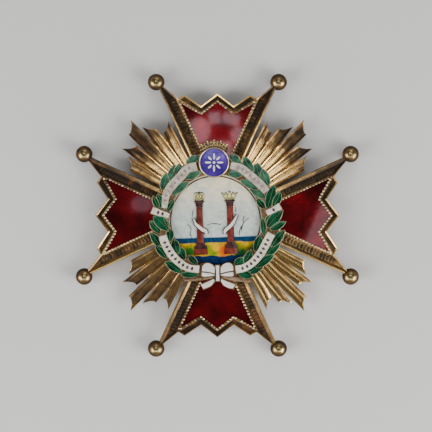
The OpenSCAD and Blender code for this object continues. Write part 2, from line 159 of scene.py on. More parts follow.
def build(name, piece, place, materials, node=None, sharp=40):
    """Makes an object of the piece in its place, instead of a node of the construction if one is named."""
    piece.move(place)
    mesh = bpy.data.meshes.new(name)
    mesh.from_pydata([[c * MM for c in p] for p in piece.points], [], piece.faces)
    mesh.attributes.new("patina_and_painted_light", "FLOAT", "POINT").data.foreach_set("value", piece.patina_and_painted_light)
    if piece.grain:
        grain = mesh.attributes.new("grain", "FLOAT_VECTOR", "POINT")
        grain.data.foreach_set("vector", [c for g in piece.grain for c in g])
    for material in materials:
        mesh.materials.append(material)
    mesh.polygons.foreach_set("material_index", piece.slots)
    mesh.update()
    mesh.shade_smooth()
    mesh.set_sharp_from_angle(angle=radians(sharp))
    obj = add_object(name, mesh)
    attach(obj, "root")
    if node:
        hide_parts(node)


def inset(outline, widths):
    """Moves each edge of an anticlockwise outline inwards by its own width."""
    normals = []
    for a, b in zip(outline, outline[1:] + outline[:1]):
        normals.append((b - a).normalized().orthogonal())
    moved = []
    for i, corner in enumerate(outline):
        a, b = normals[i - 1], normals[i]
        wa, wb = widths[i - 1], widths[i]
        cross = a.x * b.y - a.y * b.x
        if abs(cross) < 0.05:
            moved.append(corner + (a * wa + b * wb) / 2)
        else:
            moved.append(corner + Vector(((wa * b.y - wb * a.y) / cross, (wb * a.x - wa * b.x) / cross)))
    return moved


def inside(p, outline):
    hit = False
    for a, b in zip(outline, outline[1:] + outline[:1]):
        if (a.y > p.y) != (b.y > p.y) and p.x < (b.x - a.x) * (p.y - a.y) / (b.y - a.y) + a.x:
            hit = not hit
    return hit


def along_path(path, pitch, closed=True):
    """Evenly spaced places on a path, with their directions."""
    ends = path[1:] + (path[:1] if closed else [])
    total = sum((b - a).length for a, b in zip(path, ends))
    count = max(1, round(total / pitch))
    step = total / count
    places = []
    travelled = 0.0
    want = step / 2
    for a, b in zip(path, ends):
        length = (b - a).length
        while want <= travelled + length + 1e-9 and len(places) < count:
            places.append((a + (b - a) * ((want - travelled) / length), (b - a).normalized()))
            want += step
        travelled += length
    return places


def finer(outline, step):
    """Outline with points along its edges, no further apart than a step."""
    points = []
    for a, b in zip(outline, outline[1:] + outline[:1]):
        parts = ceil((b - a).length / step)
        points += [a + (b - a) * (k / parts) for k in range(parts)]
    return points


# Materials

class Nodes:
    """A node tree with short calls for its usual nodes."""

    def __init__(self, tree):
        self.tree = tree

    def feed(self, socket, value):
        """Links another node's output to a socket, or sets the socket to a number or a colour."""
        if isinstance(value, bpy.types.NodeSocket):
            self.tree.links.new(value, socket)
        else:
            socket.default_value = (*value, 1) if isinstance(value, tuple) else value

    def node(self, kind, output, inputs, **settings):
        node = self.tree.nodes.new("ShaderNode" + kind)
        for key, value in settings.items():
            setattr(node, key, value)
        for key, value in inputs.items():
            self.feed(node.inputs[key], value)
        return node.outputs[output]

    def attribute(self, name, output="Fac"):
        return self.node("Attribute", output, {}, attribute_name=name)

    def position(self, output="Object"):
        return self.node("TexCoord", output, {})

    def part(self, axis, vector):
        return self.node("SeparateXYZ", axis, {"Vector": vector})

    def noise(self, vector, scale, detail=3.0, rough=0.55):
        return self.node("TexNoise", "Fac", {
            "Vector": vector, "Scale": scale, "Detail": detail, "Roughness": rough})

    def maths(self, operation, a, b, clamp=False):
        return self.node("Math", "Value", {0: a, 1: b}, operation=operation, use_clamp=clamp)

    def spread(self, value, low, high, to_low=0.0, to_high=1.0):
        """Brings a value from one range to another, held within it."""
        return self.node("MapRange", "Result", {
            "Value": value, "From Min": low, "From Max": high, "To Min": to_low, "To Max": to_high})

    def mix(self, share, a, b):
        return self.node("Mix", 2, {0: share, 6: a, 7: b}, data_type="RGBA")

    def bump(self, height, distance, strength=1.0):
        return self.node("Bump", "Normal", {"Height": height, "Distance": distance, "Strength": strength})

    def ramp(self, value, stops):
        colour = self.node("ValToRGB", "Color", {"Fac": value})
        elements = colour.node.color_ramp.elements
        while len(elements) < len(stops):
            elements.new(0.5)
        for element, (place, shade) in zip(elements, stops):
            element.position = place
            element.color = (*shade, 1)
        return colour

    def shader(self, **values):
        sockets = self.tree.nodes["Principled BSDF"].inputs
        for key, value in values.items():
            self.feed(sockets[key.replace("_", " ")], value)


def new_material(name):
    material = bpy.data.materials.new(name)
    material.use_nodes = True
    return material, Nodes(material.node_tree)


def gilt(name, base=0.0, bright=(0.9, 0.6, 0.2), rough=0.2, streaks=False, edge=(1, 1, 1)):
    """Old gilding, coloured by each point's patina and painted light: bright where it stands up, dark where
    it lies low, with copper showing in places.
    """
    material, n = new_material(name)
    place = n.position()
    blotches = n.noise(place, 420, 1.5 if streaks else 5.0, 0.62)
    wear_and_painted_light = n.maths("ADD", n.attribute("patina_and_painted_light"), base)
    wear_and_painted_light = n.maths("ADD", wear_and_painted_light, n.spread(blotches, 0.35, 0.68, -0.12, 0.22))
    if streaks:
        lengthwise = n.attribute("grain", "Vector")
        wear_and_painted_light = n.maths("ADD", wear_and_painted_light, n.spread(n.noise(lengthwise, 1.1, 2.0), 0.35, 0.65, -0.18, 0.2))
        fine = n.spread(n.noise(lengthwise, 3.2, 1.0), 0.38, 0.62, -0.12, 0.16)
        relief = n.bump(n.noise(lengthwise, 1.4, 0.0, 0.4), 0.00002)
    else:
        specks = n.noise(place, 2600, 4.0, 0.6)
        fine = n.spread(specks, 0.3, 0.7, -0.1, 0.14)
        relief = n.bump(specks, 0.00002, 0.4)
    wear_and_painted_light = n.maths("ADD", wear_and_painted_light, fine, clamp=True)
    colour = n.ramp(wear_and_painted_light, [
        (0.0, bright),
        (0.3, tuple(c * f for c, f in zip(bright, (0.62, 0.58, 0.6)))),
        (0.62, (0.18, 0.105, 0.048)),
        (1.0, (0.036, 0.024, 0.015))])
    copper = n.spread(n.noise(place, 190), 0.56, 0.72, 0.0, 0.28)
    n.shader(
        Base_Color=n.mix(copper, colour, (0.5, 0.2, 0.06)),
        Metallic=n.spread(wear_and_painted_light, 0.35, 1.0, 1.0, 0.45),
        Roughness=n.spread(wear_and_painted_light, 0.0, 1.0, rough, rough + 0.26),
        Specular_IOR_Level=0.2,
        Specular_Tint=edge,
        Normal=relief)
    return material


def enamel(name, deep, light, scale=160, coat=0.08, glow=0.0, coat_ior=1.5, gloss=1.0):
    """Glossy enamel, cloudy from deep to light; the metal under it glows through where it is clear."""
    material, n = new_material(name)
    place = n.position()
    cloud = n.spread(n.noise(place, scale, 4.0, 0.6), 0.32, 0.68)
    fine = n.spread(n.noise(place, scale * 9, 3.0, 0.6), 0.3, 0.7, -0.12, 0.12)
    n.shader(
        Base_Color=n.mix(n.maths("ADD", cloud, fine, clamp=True), deep, light),
        Metallic=glow,
        Roughness=0.17 if glow else 0.5,
        Specular_IOR_Level=0.0,
        Specular_Tint=light if glow else (1, 1, 1),
        Coat_Weight=gloss,
        Coat_Roughness=coat,
        Coat_IOR=coat_ior,
        Normal=n.bump(n.noise(place, 330, 2.0), 0.0001, 0.5))
    return material


GILT = gilt("gilt")
GILT_RAY = gilt("gilt_ray", bright=(0.93, 0.61, 0.21), rough=0.17, streaks=True)
# The balls' dark edge tint is painted shade, darkening the reflections at their rims
GILT_BALL = gilt("gilt_ball", bright=(0.6, 0.46, 0.2), rough=0.21, edge=(0.1, 0.08, 0.05))
GILT_PALE = gilt("gilt_pale", base=-0.22, bright=(0.88, 0.72, 0.47), rough=0.34)
GILT_CROWN = gilt("gilt_crown", base=-0.1, bright=(0.95, 0.76, 0.38), rough=0.26)
GILT_DULL = gilt("gilt_dull", bright=(0.66, 0.54, 0.38), rough=0.3)
GILT_PLATE = gilt("gilt_plate", base=0.52, bright=(0.66, 0.42, 0.2), rough=0.36)
GILT_STEM = gilt("gilt_stem", base=0.12, bright=(0.8, 0.62, 0.4), rough=0.4)
GILT_DARK = gilt("gilt_dark", base=0.55, rough=0.4)
RED = enamel("red_enamel", (0.056, 0.0015, 0.003), (0.25, 0.005, 0.009), coat=0.07, glow=0.7, coat_ior=1.43)
GREEN = enamel("green_enamel", (0.001, 0.02, 0.01), (0.012, 0.15, 0.06), 460, glow=0.3, gloss=0.4)
# Paler green of the upper leaves: a painted sheen of the light from above
PAINTED_SHEEN_GREEN = enamel("painted_sheen_green_enamel", (0.006, 0.042, 0.025), (0.06, 0.19, 0.11), 520, gloss=0.5)
WHITE = enamel("white_enamel", (0.82, 0.75, 0.66), (0.96, 0.92, 0.85), 300, coat=0.12)
WORN_WHITE = enamel("worn_ribbon_enamel", (0.34, 0.28, 0.23), (0.78, 0.71, 0.6), 620, coat=0.2)
RIBBON_WHITE = enamel("ribbon_enamel", (0.7, 0.62, 0.49), (0.97, 0.91, 0.79), 420, coat=0.14)
BLUE = enamel("blue_enamel", (0.018, 0.006, 0.16), (0.12, 0.058, 0.42), 300, coat=0.14, glow=0.3, gloss=0.7)
RIBBON_MARK = enamel("mark_enamel", (0.05, 0.035, 0.032), (0.13, 0.09, 0.08), 700, coat=0.16)
FADED_MARK = enamel("faded_mark_enamel", (0.26, 0.17, 0.15), (0.44, 0.34, 0.3), 700, coat=0.16)
BRICK = enamel("brick_paint", (0.1, 0.016, 0.01), (0.26, 0.05, 0.034), 700, coat=0.16)
STONE_RED = enamel("stone_paint", (0.024, 0.012, 0.013), (0.095, 0.034, 0.032), 900, coat=0.16)
PALE_GOLD = enamel("pale_gold_paint", (0.66, 0.56, 0.16), (0.92, 0.84, 0.4), 900, coat=0.16)
DARK_LINE = enamel("dark_line_paint", (0.02, 0.02, 0.022), (0.06, 0.05, 0.05), 700, coat=0.16)

# Heights in the picture, from its middle: the horizon, where land and far sea meet, and land and near sea
HORIZON = -4.35
SHORE = -5.7
NEAR_SEA = -9.3

# Coloured spots on the land: x, y and radius in millimetres, and colour
LAND_SPOTS = [
    (2.2, -7.8, 2.6, (0.72, 0.1, 0.002)),
    (-0.9, -8.3, 1.7, (0.1, 0.26, 0.006)),
    (-2.2, -7.6, 2.0, (0.26, 0.32, 0.006)),
    (-0.2, -7.0, 1.4, (0.8, 0.46, 0.003)),
    (-7.2, -7.9, 2.4, (0.02, 0.15, 0.012)),
    (6.4, -8.9, 3.0, (0.008, 0.085, 0.02)),
    (5.4, -7.4, 1.4, (0.1, 0.24, 0.006)),
    (-10.6, -7.2, 2.4, (0.16, 0.05, 0.003)),
    (9.6, -8.0, 2.4, (0.02, 0.09, 0.012))]


def picture_paint():
    """Painted view: sky over a far sea, a strip of land and the near sea."""
    material, n = new_material("picture_paint")
    place = n.position()
    # Place in the picture, in millimetres from its middle
    view = n.node("Mapping", "Vector", {
        "Vector": place,
        "Location": MEDALLION * MM,
        "Rotation": Vector((0, 0, PICTURE_TURN)),
        "Scale": Vector((MM, MM, MM))}, vector_type="TEXTURE")
    x, y = n.part("X", view), n.part("Y", view)
    broad = n.noise(place, 220)
    brush = n.noise(place, 1500, 3.0, 0.6)
    wavy = n.maths("ADD", y, n.spread(broad, 0.3, 0.7, -0.35, 0.35))
    rippled = n.maths("ADD", y, n.spread(broad, 0.3, 0.7, -0.15, 0.15))

    def above(height, value):
        return n.spread(value, height - 0.12, height + 0.12)

    sky = n.ramp(n.spread(wavy, -5.0, 12.0), [
        (0.0, (0.44, 0.62, 0.72)),
        (0.1, (0.46, 0.58, 0.58)),
        (0.45, (0.58, 0.65, 0.56)),
        (0.75, (0.96, 0.87, 0.6)),
        (1.0, (1.0, 0.87, 0.46))])
    sky = n.mix(n.spread(n.noise(place, 900), 0.42, 0.6, 0.0, 0.4), sky, (0.98, 0.94, 0.8))
    sky = n.mix(n.spread(n.noise(place, 330, 2.0), 0.46, 0.62, 0.0, 0.5), sky, (0.42, 0.55, 0.58))
    sky = n.mix(n.spread(brush, 0.42, 0.7, 0.0, 0.4), sky, (0.95, 0.88, 0.72))
    far_sea = n.mix(n.spread(brush, 0.35, 0.65), (0.003, 0.025, 0.085), (0.01, 0.07, 0.15))
    strokes = n.spread(brush, 0.35, 0.7)
    land = n.mix(strokes, (0.52, 0.3, 0.001), (0.92, 0.6, 0.004))
    ground = n.node("CombineXYZ", "Vector", {"X": x, "Y": wavy})
    for spot_x, spot_y, radius, tint in LAND_SPOTS:
        spot = Vector((spot_x, spot_y, 0))
        away = n.node("VectorMath", "Value", {0: ground, 1: spot}, operation="DISTANCE")
        land = n.mix(n.spread(away, radius * 0.35, radius, 1.0, 0.0), land, tint)
    near_sea = n.mix(strokes, (0.002, 0.012, 0.06), (0.008, 0.04, 0.125))
    colour = n.mix(above(NEAR_SEA, wavy), near_sea, land)
    colour = n.mix(above(SHORE, rippled), colour, far_sea)
    n.shader(
        Base_Color=n.mix(above(HORIZON, y), colour, sky),
        Roughness=0.5,
        Specular_IOR_Level=0.0,
        Coat_Weight=0.6,
        Coat_Roughness=0.16,
        Coat_IOR=1.5,
        Normal=n.bump(brush, 0.00003, 0.3))
    return material


PICTURE = picture_paint()


# Arms: x runs outwards along an arm's middle line, y sideways from it, z from the plate's mid plane

PLATE_TOP = PLATE_T / 2
PLATE_START = 8
# Where rail and horn meet, inside the ball
HORN_TIP = 36.47
# Zigzag end of an arm, from the foot of the horn to the peak in the middle
ZIGZAG = [(31.45, 10.5), (32.5, 8.8), (29.5, 4.4), (32.9, 0)]
# Width of the rim on each edge of the outline, in the outline's order
RIM_WIDTHS = [1.15, 0.55, 0.54, 0.54, 0.54, 0.54, 0.54, 0.54, 0.55, 1.15, 0.3]
RIM_START = 12.8
# Where the arm's wear and painted shade start to change outwards, over what length, and over what width its
# painted light changes from side to side
WEAR_AND_SHADE_START = 17
WEAR_AND_SHADE_LENGTH = 16
WEAR_AND_SHADE_WIDTH = 6
# Depths from the rail's outer edge: where its rim slopes down, and where it ends
RIM_SLOPE = 0.5
RIM_END = 1.3
WALL_HALF = 0.5
WALL_TOP = 0.76
# Beads on the wall: half length, half width and height
BEAD = (0.4, 0.34, 0.36)
BEAD_PITCH = 0.9
GADROON_START = 14.5
GADROON_PITCH = 0.96
GADROON_COUNT = 25
# From the rail's outer edge to the middle of the gadroons; limits of their half length, half width, height
GADROON_LINE = 1.98
GADROON_SIZES = [(0.4, 0.47), (0.7, 0.9), (0.16, 0.25)]
# Height and slope of an arm, which falls away from the star's middle
FALLING = Matrix.Translation((0, 0, HUB_Z)) @ Matrix.Rotation(FALL, 4, "Y")
# Where the enamel stands highest, and the radius of its round crown
ENAMEL_TOP = Vector((22, 0, PLATE_TOP + 0.66))
ENAMEL_R = 130
ENAMEL_RINGS = 12
BALL_RINGS = 28
BALL_SIDES = 48

# Sections of the plate, the rim and the wall: way inwards (of the rim a share of its width), height, patina
# and painted light
PLATE_SECTION = [
    (0.16, -PLATE_TOP, 0.3), (0.05, -PLATE_TOP + 0.06, 0.2), (0.0, -PLATE_TOP + 0.2, 0.15),
    (0.0, PLATE_TOP - 0.05, 0.25), (0.08, PLATE_TOP, 0.6)]
# The rim's top is painted bright as a highlight, and its slope inwards darker
RIM_SECTION = [
    (0.0, 0.4, 0.5), (0.0, 0.84, 0.25), (0.07, 0.97, 0.05), (0.18, 1.05, -0.1), (0.36, 1.06, -0.1),
    (0.48, 1.01, 0.2), (0.74, 0.9, 0.35), (0.94, 0.8, 0.4), (1.0, 0.72, 0.6), (1.0, 0.48, 0.9)]
WALL_SECTION = [
    (-0.45, 0.45, 0.7), (-0.43, 0.76, 0.3), (-0.36, 0.84, 0.0), (-0.24, 0.82, 0.0),
    (-0.16, 0.76, 0.2), (0.31, 0.76, 0.2), (0.33, 0.45, 0.7)]

# Patina and painted light of each arm, set arm by arm and side by side for how the light falls on it, with
# pairs as (clockwise side, other side): of its rails, of their rims near the balls, of the slope inside those
# rims, of the rim along the zigzag end, and of the beads along that end
ARM_PATINA_AND_LIGHT = {
    "right": ((0.04, 0.3), (-0.35, 0.6), (0.62, 0.0), -0.25, 0.12),
    "top": ((0.18, 0.18), (0.75, 0.75), (0.0, 0.1), -0.25, 0.45),
    "left": ((0.36, 0.08), (0.7, 0.05), (0.0, 0.12), -0.12, 0.05),
    "bottom": ((0.32, 0.2), (0.3, 0.15), (0.0, 0.2), 0.12, -0.02)}


def rail(x):
    """Half the width of an arm, out to the edge of its rails."""
    return RAIL_ROOT + (BALL_SIDE - RAIL_ROOT) * x / BALL_REACH


def below_rail(p):
    return rail(p.x) - abs(p.y)


def both_sides(half):
    """Anticlockwise outline from its half on the far side of the middle line, given from the inner end."""
    far = [Vector(p) for p in half]
    near = [Vector((x, -y)) for x, y in half if y != 0]
    return near + far[::-1]


def arm_outline(start):
    return both_sides([(start, rail(start)), (HORN_TIP, rail(HORN_TIP)), *ZIGZAG])


def wall_line(shift):
    """Middle line of the wall round the enamel, moved inwards by a shift."""
    return both_sides([
        (RIM_START, rail(RIM_START) - CHANNEL_W - shift),
        (30.95 - shift * 2.6, rail(30.95) - CHANNEL_W - shift * 2.25),
        (27.4 - shift * 1.23, 4.4),
        (30.8 - shift * 1.26, 0)])


def flat(points, z):
    return [Vector((p.x, p.y, z)) for p in points]


def outline_bands(piece, section, outline):
    """Bands through the rows of a section, each with the outline of its own inset; gives the lowest row."""
    rows = [piece.add(flat(outline(shift), z), patina_and_painted_light) for shift, z, patina_and_painted_light in section]
    piece.bands(rows)
    return rows[0]


def base_plate(piece):
    """Plate with a small round on its edges."""
    def outline(shift):
        return inset(arm_outline(PLATE_START), [shift] * len(RIM_WIDTHS))

    lowest = outline_bands(piece, PLATE_SECTION, outline)
    piece.face(*reversed(lowest))
    piece.face(*piece.add(flat(finer(outline(0.08), 40), PLATE_TOP), 0.55))


def rim(piece):
    """Rim on the plate: broad and rounded along the rails, narrow along the zigzag end."""
    def outline(share):
        return inset(arm_outline(RIM_START), [w * share for w in RIM_WIDTHS])

    outline_bands(piece, RIM_SECTION, outline)


def beaded_wall(piece, side, wear_and_light_at_end):
    """Wall round the enamel with a row of beads."""
    outline_bands(piece, WALL_SECTION, wall_line)
    piece.slot = 2
    shade = random.Random(f"beads {side}")
    for p, along in along_path(wall_line(0.07), BEAD_PITCH):
        at_end = below_rail(p) > CHANNEL_W + WALL_HALF
        # Each bead's patina varies at random; along the zigzag end the arm's painted light is added
        wear_and_light = shade.uniform(-0.45, 0.4) + at_end * wear_and_light_at_end
        piece.dome(p, WALL_TOP, along, *BEAD, sides=10, patina_and_painted_light=(wear_and_light, 0.8))


def gadroons(piece, side):
    """Short bars side by side in the channels of the rails."""
    piece.slot = 3
    slope = Vector((BALL_REACH, BALL_SIDE - RAIL_ROOT)).normalized()
    inwards = Vector((slope.y, -slope.x))
    limit = inset(arm_outline(RIM_START), [w + 0.5 for w in RIM_WIDTHS])
    wall_outer = wall_line(-0.62)
    for flip in (-1, 1):
        for k in range(GADROON_COUNT):
            distance = GADROON_START + GADROON_PITCH * k
            p = Vector((0, RAIL_ROOT)) + slope * distance + inwards * GADROON_LINE
            p.y *= flip
            if not inside(p, limit) or inside(p, wall_outer):
                continue
            chance = random.Random(f"{side}{flip}{distance + GADROON_PITCH:.2f}")
            size = [chance.uniform(*limits) for limits in GADROON_SIZES]
            piece.dome(p, PLATE_TOP - 0.02, Vector((slope.x, slope.y * flip)), *size, sides=14, steps=5,
                       patina_and_painted_light=(chance.uniform(0.2, 0.6), 0.65))


def paint_wear_and_light(piece, rails, horns, slopes, zigzag):
    """Adds the arm's own patina and painted light, part by part, to what its sections have: painted light
    that differs arm by arm and side by side, painted shade that darkens the arm outwards towards its balls,
    and a painted highlight on the rim near the medallion.
    """
    for i, p in enumerate(piece.points):
        depth = below_rail(p)
        outwards = clamped((p.x - WEAR_AND_SHADE_START) / WEAR_AND_SHADE_LENGTH)
        sideways = clamped(p.y / WEAR_AND_SHADE_WIDTH + 0.5)
        # Painted light by side, and painted shade that grows outwards
        wear_and_light = mix(*rails, sideways)
        if depth < RIM_END:
            wear_and_light += mix(-0.4, mix(*horns, sideways), outwards)
            if depth > RIM_SLOPE:
                wear_and_light += mix(*slopes, sideways)
        elif depth < CHANNEL_W - WALL_HALF:
            wear_and_light += mix(0.12, 0.42, outwards)
        elif depth < CHANNEL_W + WALL_HALF:
            wear_and_light += mix(-0.3, 0.15, outwards)
        else:
            wear_and_light += zigzag if p.z > WALL_TOP + 0.02 else 0.25
        piece.patina_and_painted_light[i] += wear_and_light


def balls(piece):
    """Balls on the ends of the horns, with painted shade that darkens them round the sides and leaves them
    bright on top.
    """
    piece.slot = 1
    for flip in (-1, 1):
        centre = Vector((BALL_REACH, flip * BALL_SIDE, BALL_R))
        rows = []
        for k in range(1, BALL_RINGS):
            polar = pi * k / BALL_RINGS
            middle = centre - upwards(BALL_R * cos(polar))
            ring = [middle + BALL_R * sin(polar) * heading(a) for a in turns(BALL_SIDES)]
            # Painted shade: darker round the sides, where the balls would reflect the pale floor
            shade = mix(0.85, 0.1, clamped((-cos(polar) - 0.62) / 0.32))
            rows.append(piece.add(ring, shade))
        piece.bands(rows)
        piece.cap(rows[0][::-1], centre - upwards(BALL_R))
        piece.cap(rows[-1], centre + upwards(BALL_R))


def arm_frame(side, turn):
    rails, horns, slopes, zigzag, beads = ARM_PATINA_AND_LIGHT[side]
    piece = Piece()
    base_plate(piece)
    rim(piece)
    beaded_wall(piece, side, beads)
    gadroons(piece, side)
    paint_wear_and_light(piece, rails, horns, slopes, zigzag)
    piece.move(FALLING)
    # The balls are made where they stand, so they only turn with the arm
    balls(piece)
    materials = [GILT, GILT_BALL, GILT_PALE, GILT_DULL]
    build(f"arm_{side}_frame", piece, spin(turn), materials, f"arm_{side}")


def arm_enamel(side, turn):
    """Enamel with a low round crown, a little proud of the wall beside it, lower in the corners."""
    outline = finer(wall_line(0.36), 0.45)
    middle = ENAMEL_TOP.xy
    piece = Piece()
    rows = [piece.add(flat(outline, PLATE_TOP + 0.02))]
    for k in range(ENAMEL_RINGS):
        ring = [middle + (p - middle) * (1 - k / ENAMEL_RINGS) for p in outline]
        rows.append(piece.add([
            Vector((p.x, p.y, ENAMEL_TOP.z - (p - middle).length_squared / (2 * ENAMEL_R))) for p in ring]))
    piece.bands(rows)
    piece.cap(rows[-1], ENAMEL_TOP)
    piece.face(*reversed(rows[0]))
    build(f"arm_{side}_enamel", piece, spin(turn) @ FALLING, [RED], f"enamel_{side}", sharp=50)


for side, turn in ARMS.items():
    arm_frame(side, turn)
    arm_enamel(side, turn)


# Rays: five to a bundle, joined from the medallion to the slits

# Each ray's two tips: angle from the horizontal arm and distance from the middle of one, then of the other
RAY_TIPS = [
    (27.3, 26.4, 33.6, 28.8),
    (35.0, 31.4, 40.9, 28.7),
    (42.2, 32.3, 47.8, 34.8),
    (49.5, 31.3, 54.8, 28.7),
    (56.8, 26.6, 62.5, 28.7)]
RAY_START = 11
SLIT_START = 23
RAY_T = 0.5
RIDGE_RISE = 0.024
FORK = 0.75
# Where the rays' patina and painted shade start to darken them outwards, and over what length
RAY_WEAR_AND_SHADE_START = 16.5
RAY_WEAR_AND_SHADE_LENGTH = 12
# Streaks along the rays: how far they are drawn out, and how far each ray's lie from the next one's
GRAIN_STRETCH = 0.04
GRAIN_APART = 9
# Stations across a ray, and along it as shares of its joined and its free part, closer near edges and tips
NEAR_EDGE = [0, 0.02, 0.045, 0.08, 0.12, 0.17, 0.24, 0.34]
ACROSS = NEAR_EDGE + [0.5] + [1 - u for u in reversed(NEAR_EDGE)]
STATIONS = [(k / 8, 0) for k in range(8)] + [(1, k / 12) for k in range(12)]
STATIONS += [(1, 0.955), (1, 0.985), (1, 1)]

# Bundles: turn, whether mirrored, patina and painted light near the medallion and at the tips, set bundle by
# bundle for how the light falls, how much painted shade darkens one side of each ray, and flatness of the
# trough along it, where 2 is round and more is flatter
BUNDLES = {
    "rays_ne": (0, False, -0.24, 0.72, 0.06, 6),
    "rays_nw": (180, True, -0.1, 0.8, 0.0, 6),
    "rays_sw": (180, False, 0.22, 0.66, 0.05, 4),
    "rays_se": (0, True, -0.08, 0.14, 0.24, 2.5)}


def ridge_angle(ray, edge):
    """Angle of the ridge on the first (0) or the second (1) edge of a ray."""
    if ray + edge == 0:
        return RAY_TIPS[0][0]
    if ray + edge == len(RAY_TIPS):
        return RAY_TIPS[-1][2]
    return (RAY_TIPS[ray + edge - 1][2] + RAY_TIPS[ray + edge][0]) / 2


def ray_width(ray, r):
    return r * radians(ridge_angle(ray, 1) - ridge_angle(ray, 0))


def ray_polar(ray, u, joined, free):
    """Distance and angle of a point of a ray: u runs across it."""
    inner = mix(ridge_angle(ray, 0), ridge_angle(ray, 1), u)
    a1, r1, a2, r2 = RAY_TIPS[ray]
    start = mix(RAY_START, SLIT_START, joined)
    tip = mix(r1, r2, u) - FORK * 4 * u * (1 - u)
    return mix(start, tip, free), mix(inner, mix(a1, a2, u), free)


def hill(value, middle, half_width):
    return exp(-((value - middle) / half_width) ** 2)


def ray_section(ray, u, r, free, flatness):
    """Lowest and highest point, and patina with painted light: a flat trough between thin lips painted bright
    as highlights, a groove where two rays join painted darker, and the very ends painted brighter.
    """
    bottom = HUB_Z - PLATE_TOP + 0.02 - r * tan(FALL)
    edge = min(u, 1 - u) * ray_width(ray, r)
    flute = (0.09 + 0.016 * r) * (1 - abs(2 * u - 1) ** flatness)
    lip = 0.05 * hill(edge, 0.12, 0.08) + 0.08 * hill(free, 0.985, 0.02)
    outermost = (ray == 0 and u < 0.5) or (ray == len(RAY_TIPS) - 1 and u > 0.5)
    groove = 0.0 if outermost else clamped(1 - free * 6) * hill(edge, 0, 0.08)
    # Lips painted bright as highlights; the band inside them and the groove painted darker
    patina_and_painted_light = 0.2 * hill(edge, 0.36, 0.16) - 0.55 * hill(edge, 0.1, 0.12)
    top = bottom + RAY_T + RIDGE_RISE * r - flute + lip - 0.35 * groove
    return bottom, top, patina_and_painted_light + 1.1 * groove - 0.3 * clamped(free * 20 - 19)


def ray_bundle(name, turn, mirrored, root, tips, painted_flank_shade, flatness):
    piece = Piece()
    for ray in range(len(RAY_TIPS)):
        shade = random.Random(f"{name}{ray}").uniform(-0.07, 0.09)
        tops = []
        bottoms = []
        for joined, free in STATIONS:
            tops.append([])
            bottoms.append([])
            for u in ACROSS:
                r, angle = ray_polar(ray, u, joined, free)
                low, high, patina_and_painted_light = ray_section(ray, u, r, free, flatness)
                spot = r * heading(radians(angle))
                # A random tone for each ray, patina and painted shade darker towards the tips, and painted
                # shade on one side of each ray
                outwards = clamped((r - RAY_WEAR_AND_SHADE_START) / RAY_WEAR_AND_SHADE_LENGTH)
                patina_and_painted_light += shade + mix(root, tips, outwards) + painted_flank_shade * (1 - 2 * u)
                tops[-1] += piece.add([spot + upwards(high)], patina_and_painted_light)
                bottoms[-1] += piece.add([spot + upwards(low)], 0.95)
                across = (u - 0.5) * ray_width(ray, r) + ray * GRAIN_APART
                piece.grain += [(across, r * GRAIN_STRETCH, turn + 5 * mirrored)] * 2
        piece.bands([row[::-1] for row in tops], closed=False)
        piece.bands(bottoms, closed=False)
        piece.band([row[0] for row in bottoms], [row[0] for row in tops], closed=False)
        piece.band([row[-1] for row in tops], [row[-1] for row in bottoms], closed=False)
        piece.band(tops[-1], bottoms[-1], closed=False)
    if mirrored:
        piece.faces = [corners[::-1] for corners in piece.faces]
    place = spin(turn) @ Matrix.Scale(-1 if mirrored else 1, 4, (0, 1, 0))
    build(f"{name}_fluted", piece, place, [GILT_RAY], name, sharp=32)


for name, bundle in BUNDLES.items():
    ray_bundle(name, *bundle)


# Cells: strips between two edges, with a thin metal rim round enamel

# Shares of the field's width at which a section has points
FIELD = [0, 0.12, 0.3, 0.5, 0.7, 0.88, 1]
LEAF_LONGER = 0.07
LEAF_WIDER = 1.55
LEAF_STATIONS = 14
LEAF_TOP = 0.24
RIBBON_TOP = 0.42
# How far from the ribbon's middle the leaves under it end, and how near to it such leaves lie
RIBBON_COVER = 0.75
RIBBON_NEAR = 2.9
BOW_TOP = 0.3
STEM_TOP = 0.24
# Bevel of a cell's edges, and how far its enamel lies below its metal rim
BEVEL = 0.05
RIM_RISE = 0.04
METAL = 1


def curve(rows, steps=6):
    """Smooth rows through the rows of a table."""
    smooth = []
    last = len(rows) - 1
    for i in range(last):
        a, b, c, d = rows[max(i - 1, 0)], rows[i], rows[i + 1], rows[min(i + 2, last)]
        for k in range(steps):
            s = k / steps
            smooth.append([
                q + 0.5 * s * ((r - p) + (2 * p - 5 * q + 4 * r - t) * s + (3 * q - p - 3 * r + t) * s ** 2)
                for p, q, r, t in zip(a, b, c, d)])
    smooth.append(list(rows[-1]))
    return smooth


def strip_edges(rows):
    """Edges of a strip whose middle line and width are given by [x, y, width] rows."""
    path = curve(rows)
    edges = []
    for i, (x, y, width) in enumerate(path):
        a, b = path[max(i - 1, 0)], path[min(i + 1, len(path) - 1)]
        side = Vector((b[0] - a[0], b[1] - a[1])).normalized().orthogonal() * width / 2
        edges.append((Vector((x, y)) + side, Vector((x, y)) - side))
    return edges


def edge_pairs(rows):
    """Edges given by [x, y, x, y] rows: a point on the left edge and one on the right edge."""
    return [(Vector(row[:2]), Vector(row[2:])) for row in curve(rows, 5)]


def ribbon_side(base, tip):
    """Distance from a leaf to the middle of the ribbon along it, and the side: 1 left, -1 right, 0 none."""
    middle = (base + tip) / 2
    along = (tip - base).normalized()
    points = [Vector(row[:2]) for rows in RIBBONS.values() for row in curve(rows, 4)]
    near = min(points, key=lambda p: (p - middle).length) - middle
    if near.length > RIBBON_NEAR or abs(near.dot(along)) > 0.6 * near.length:
        return 0.0, 0
    return near.length, 1 if along.x * near.y - along.y * near.x > 0 else -1


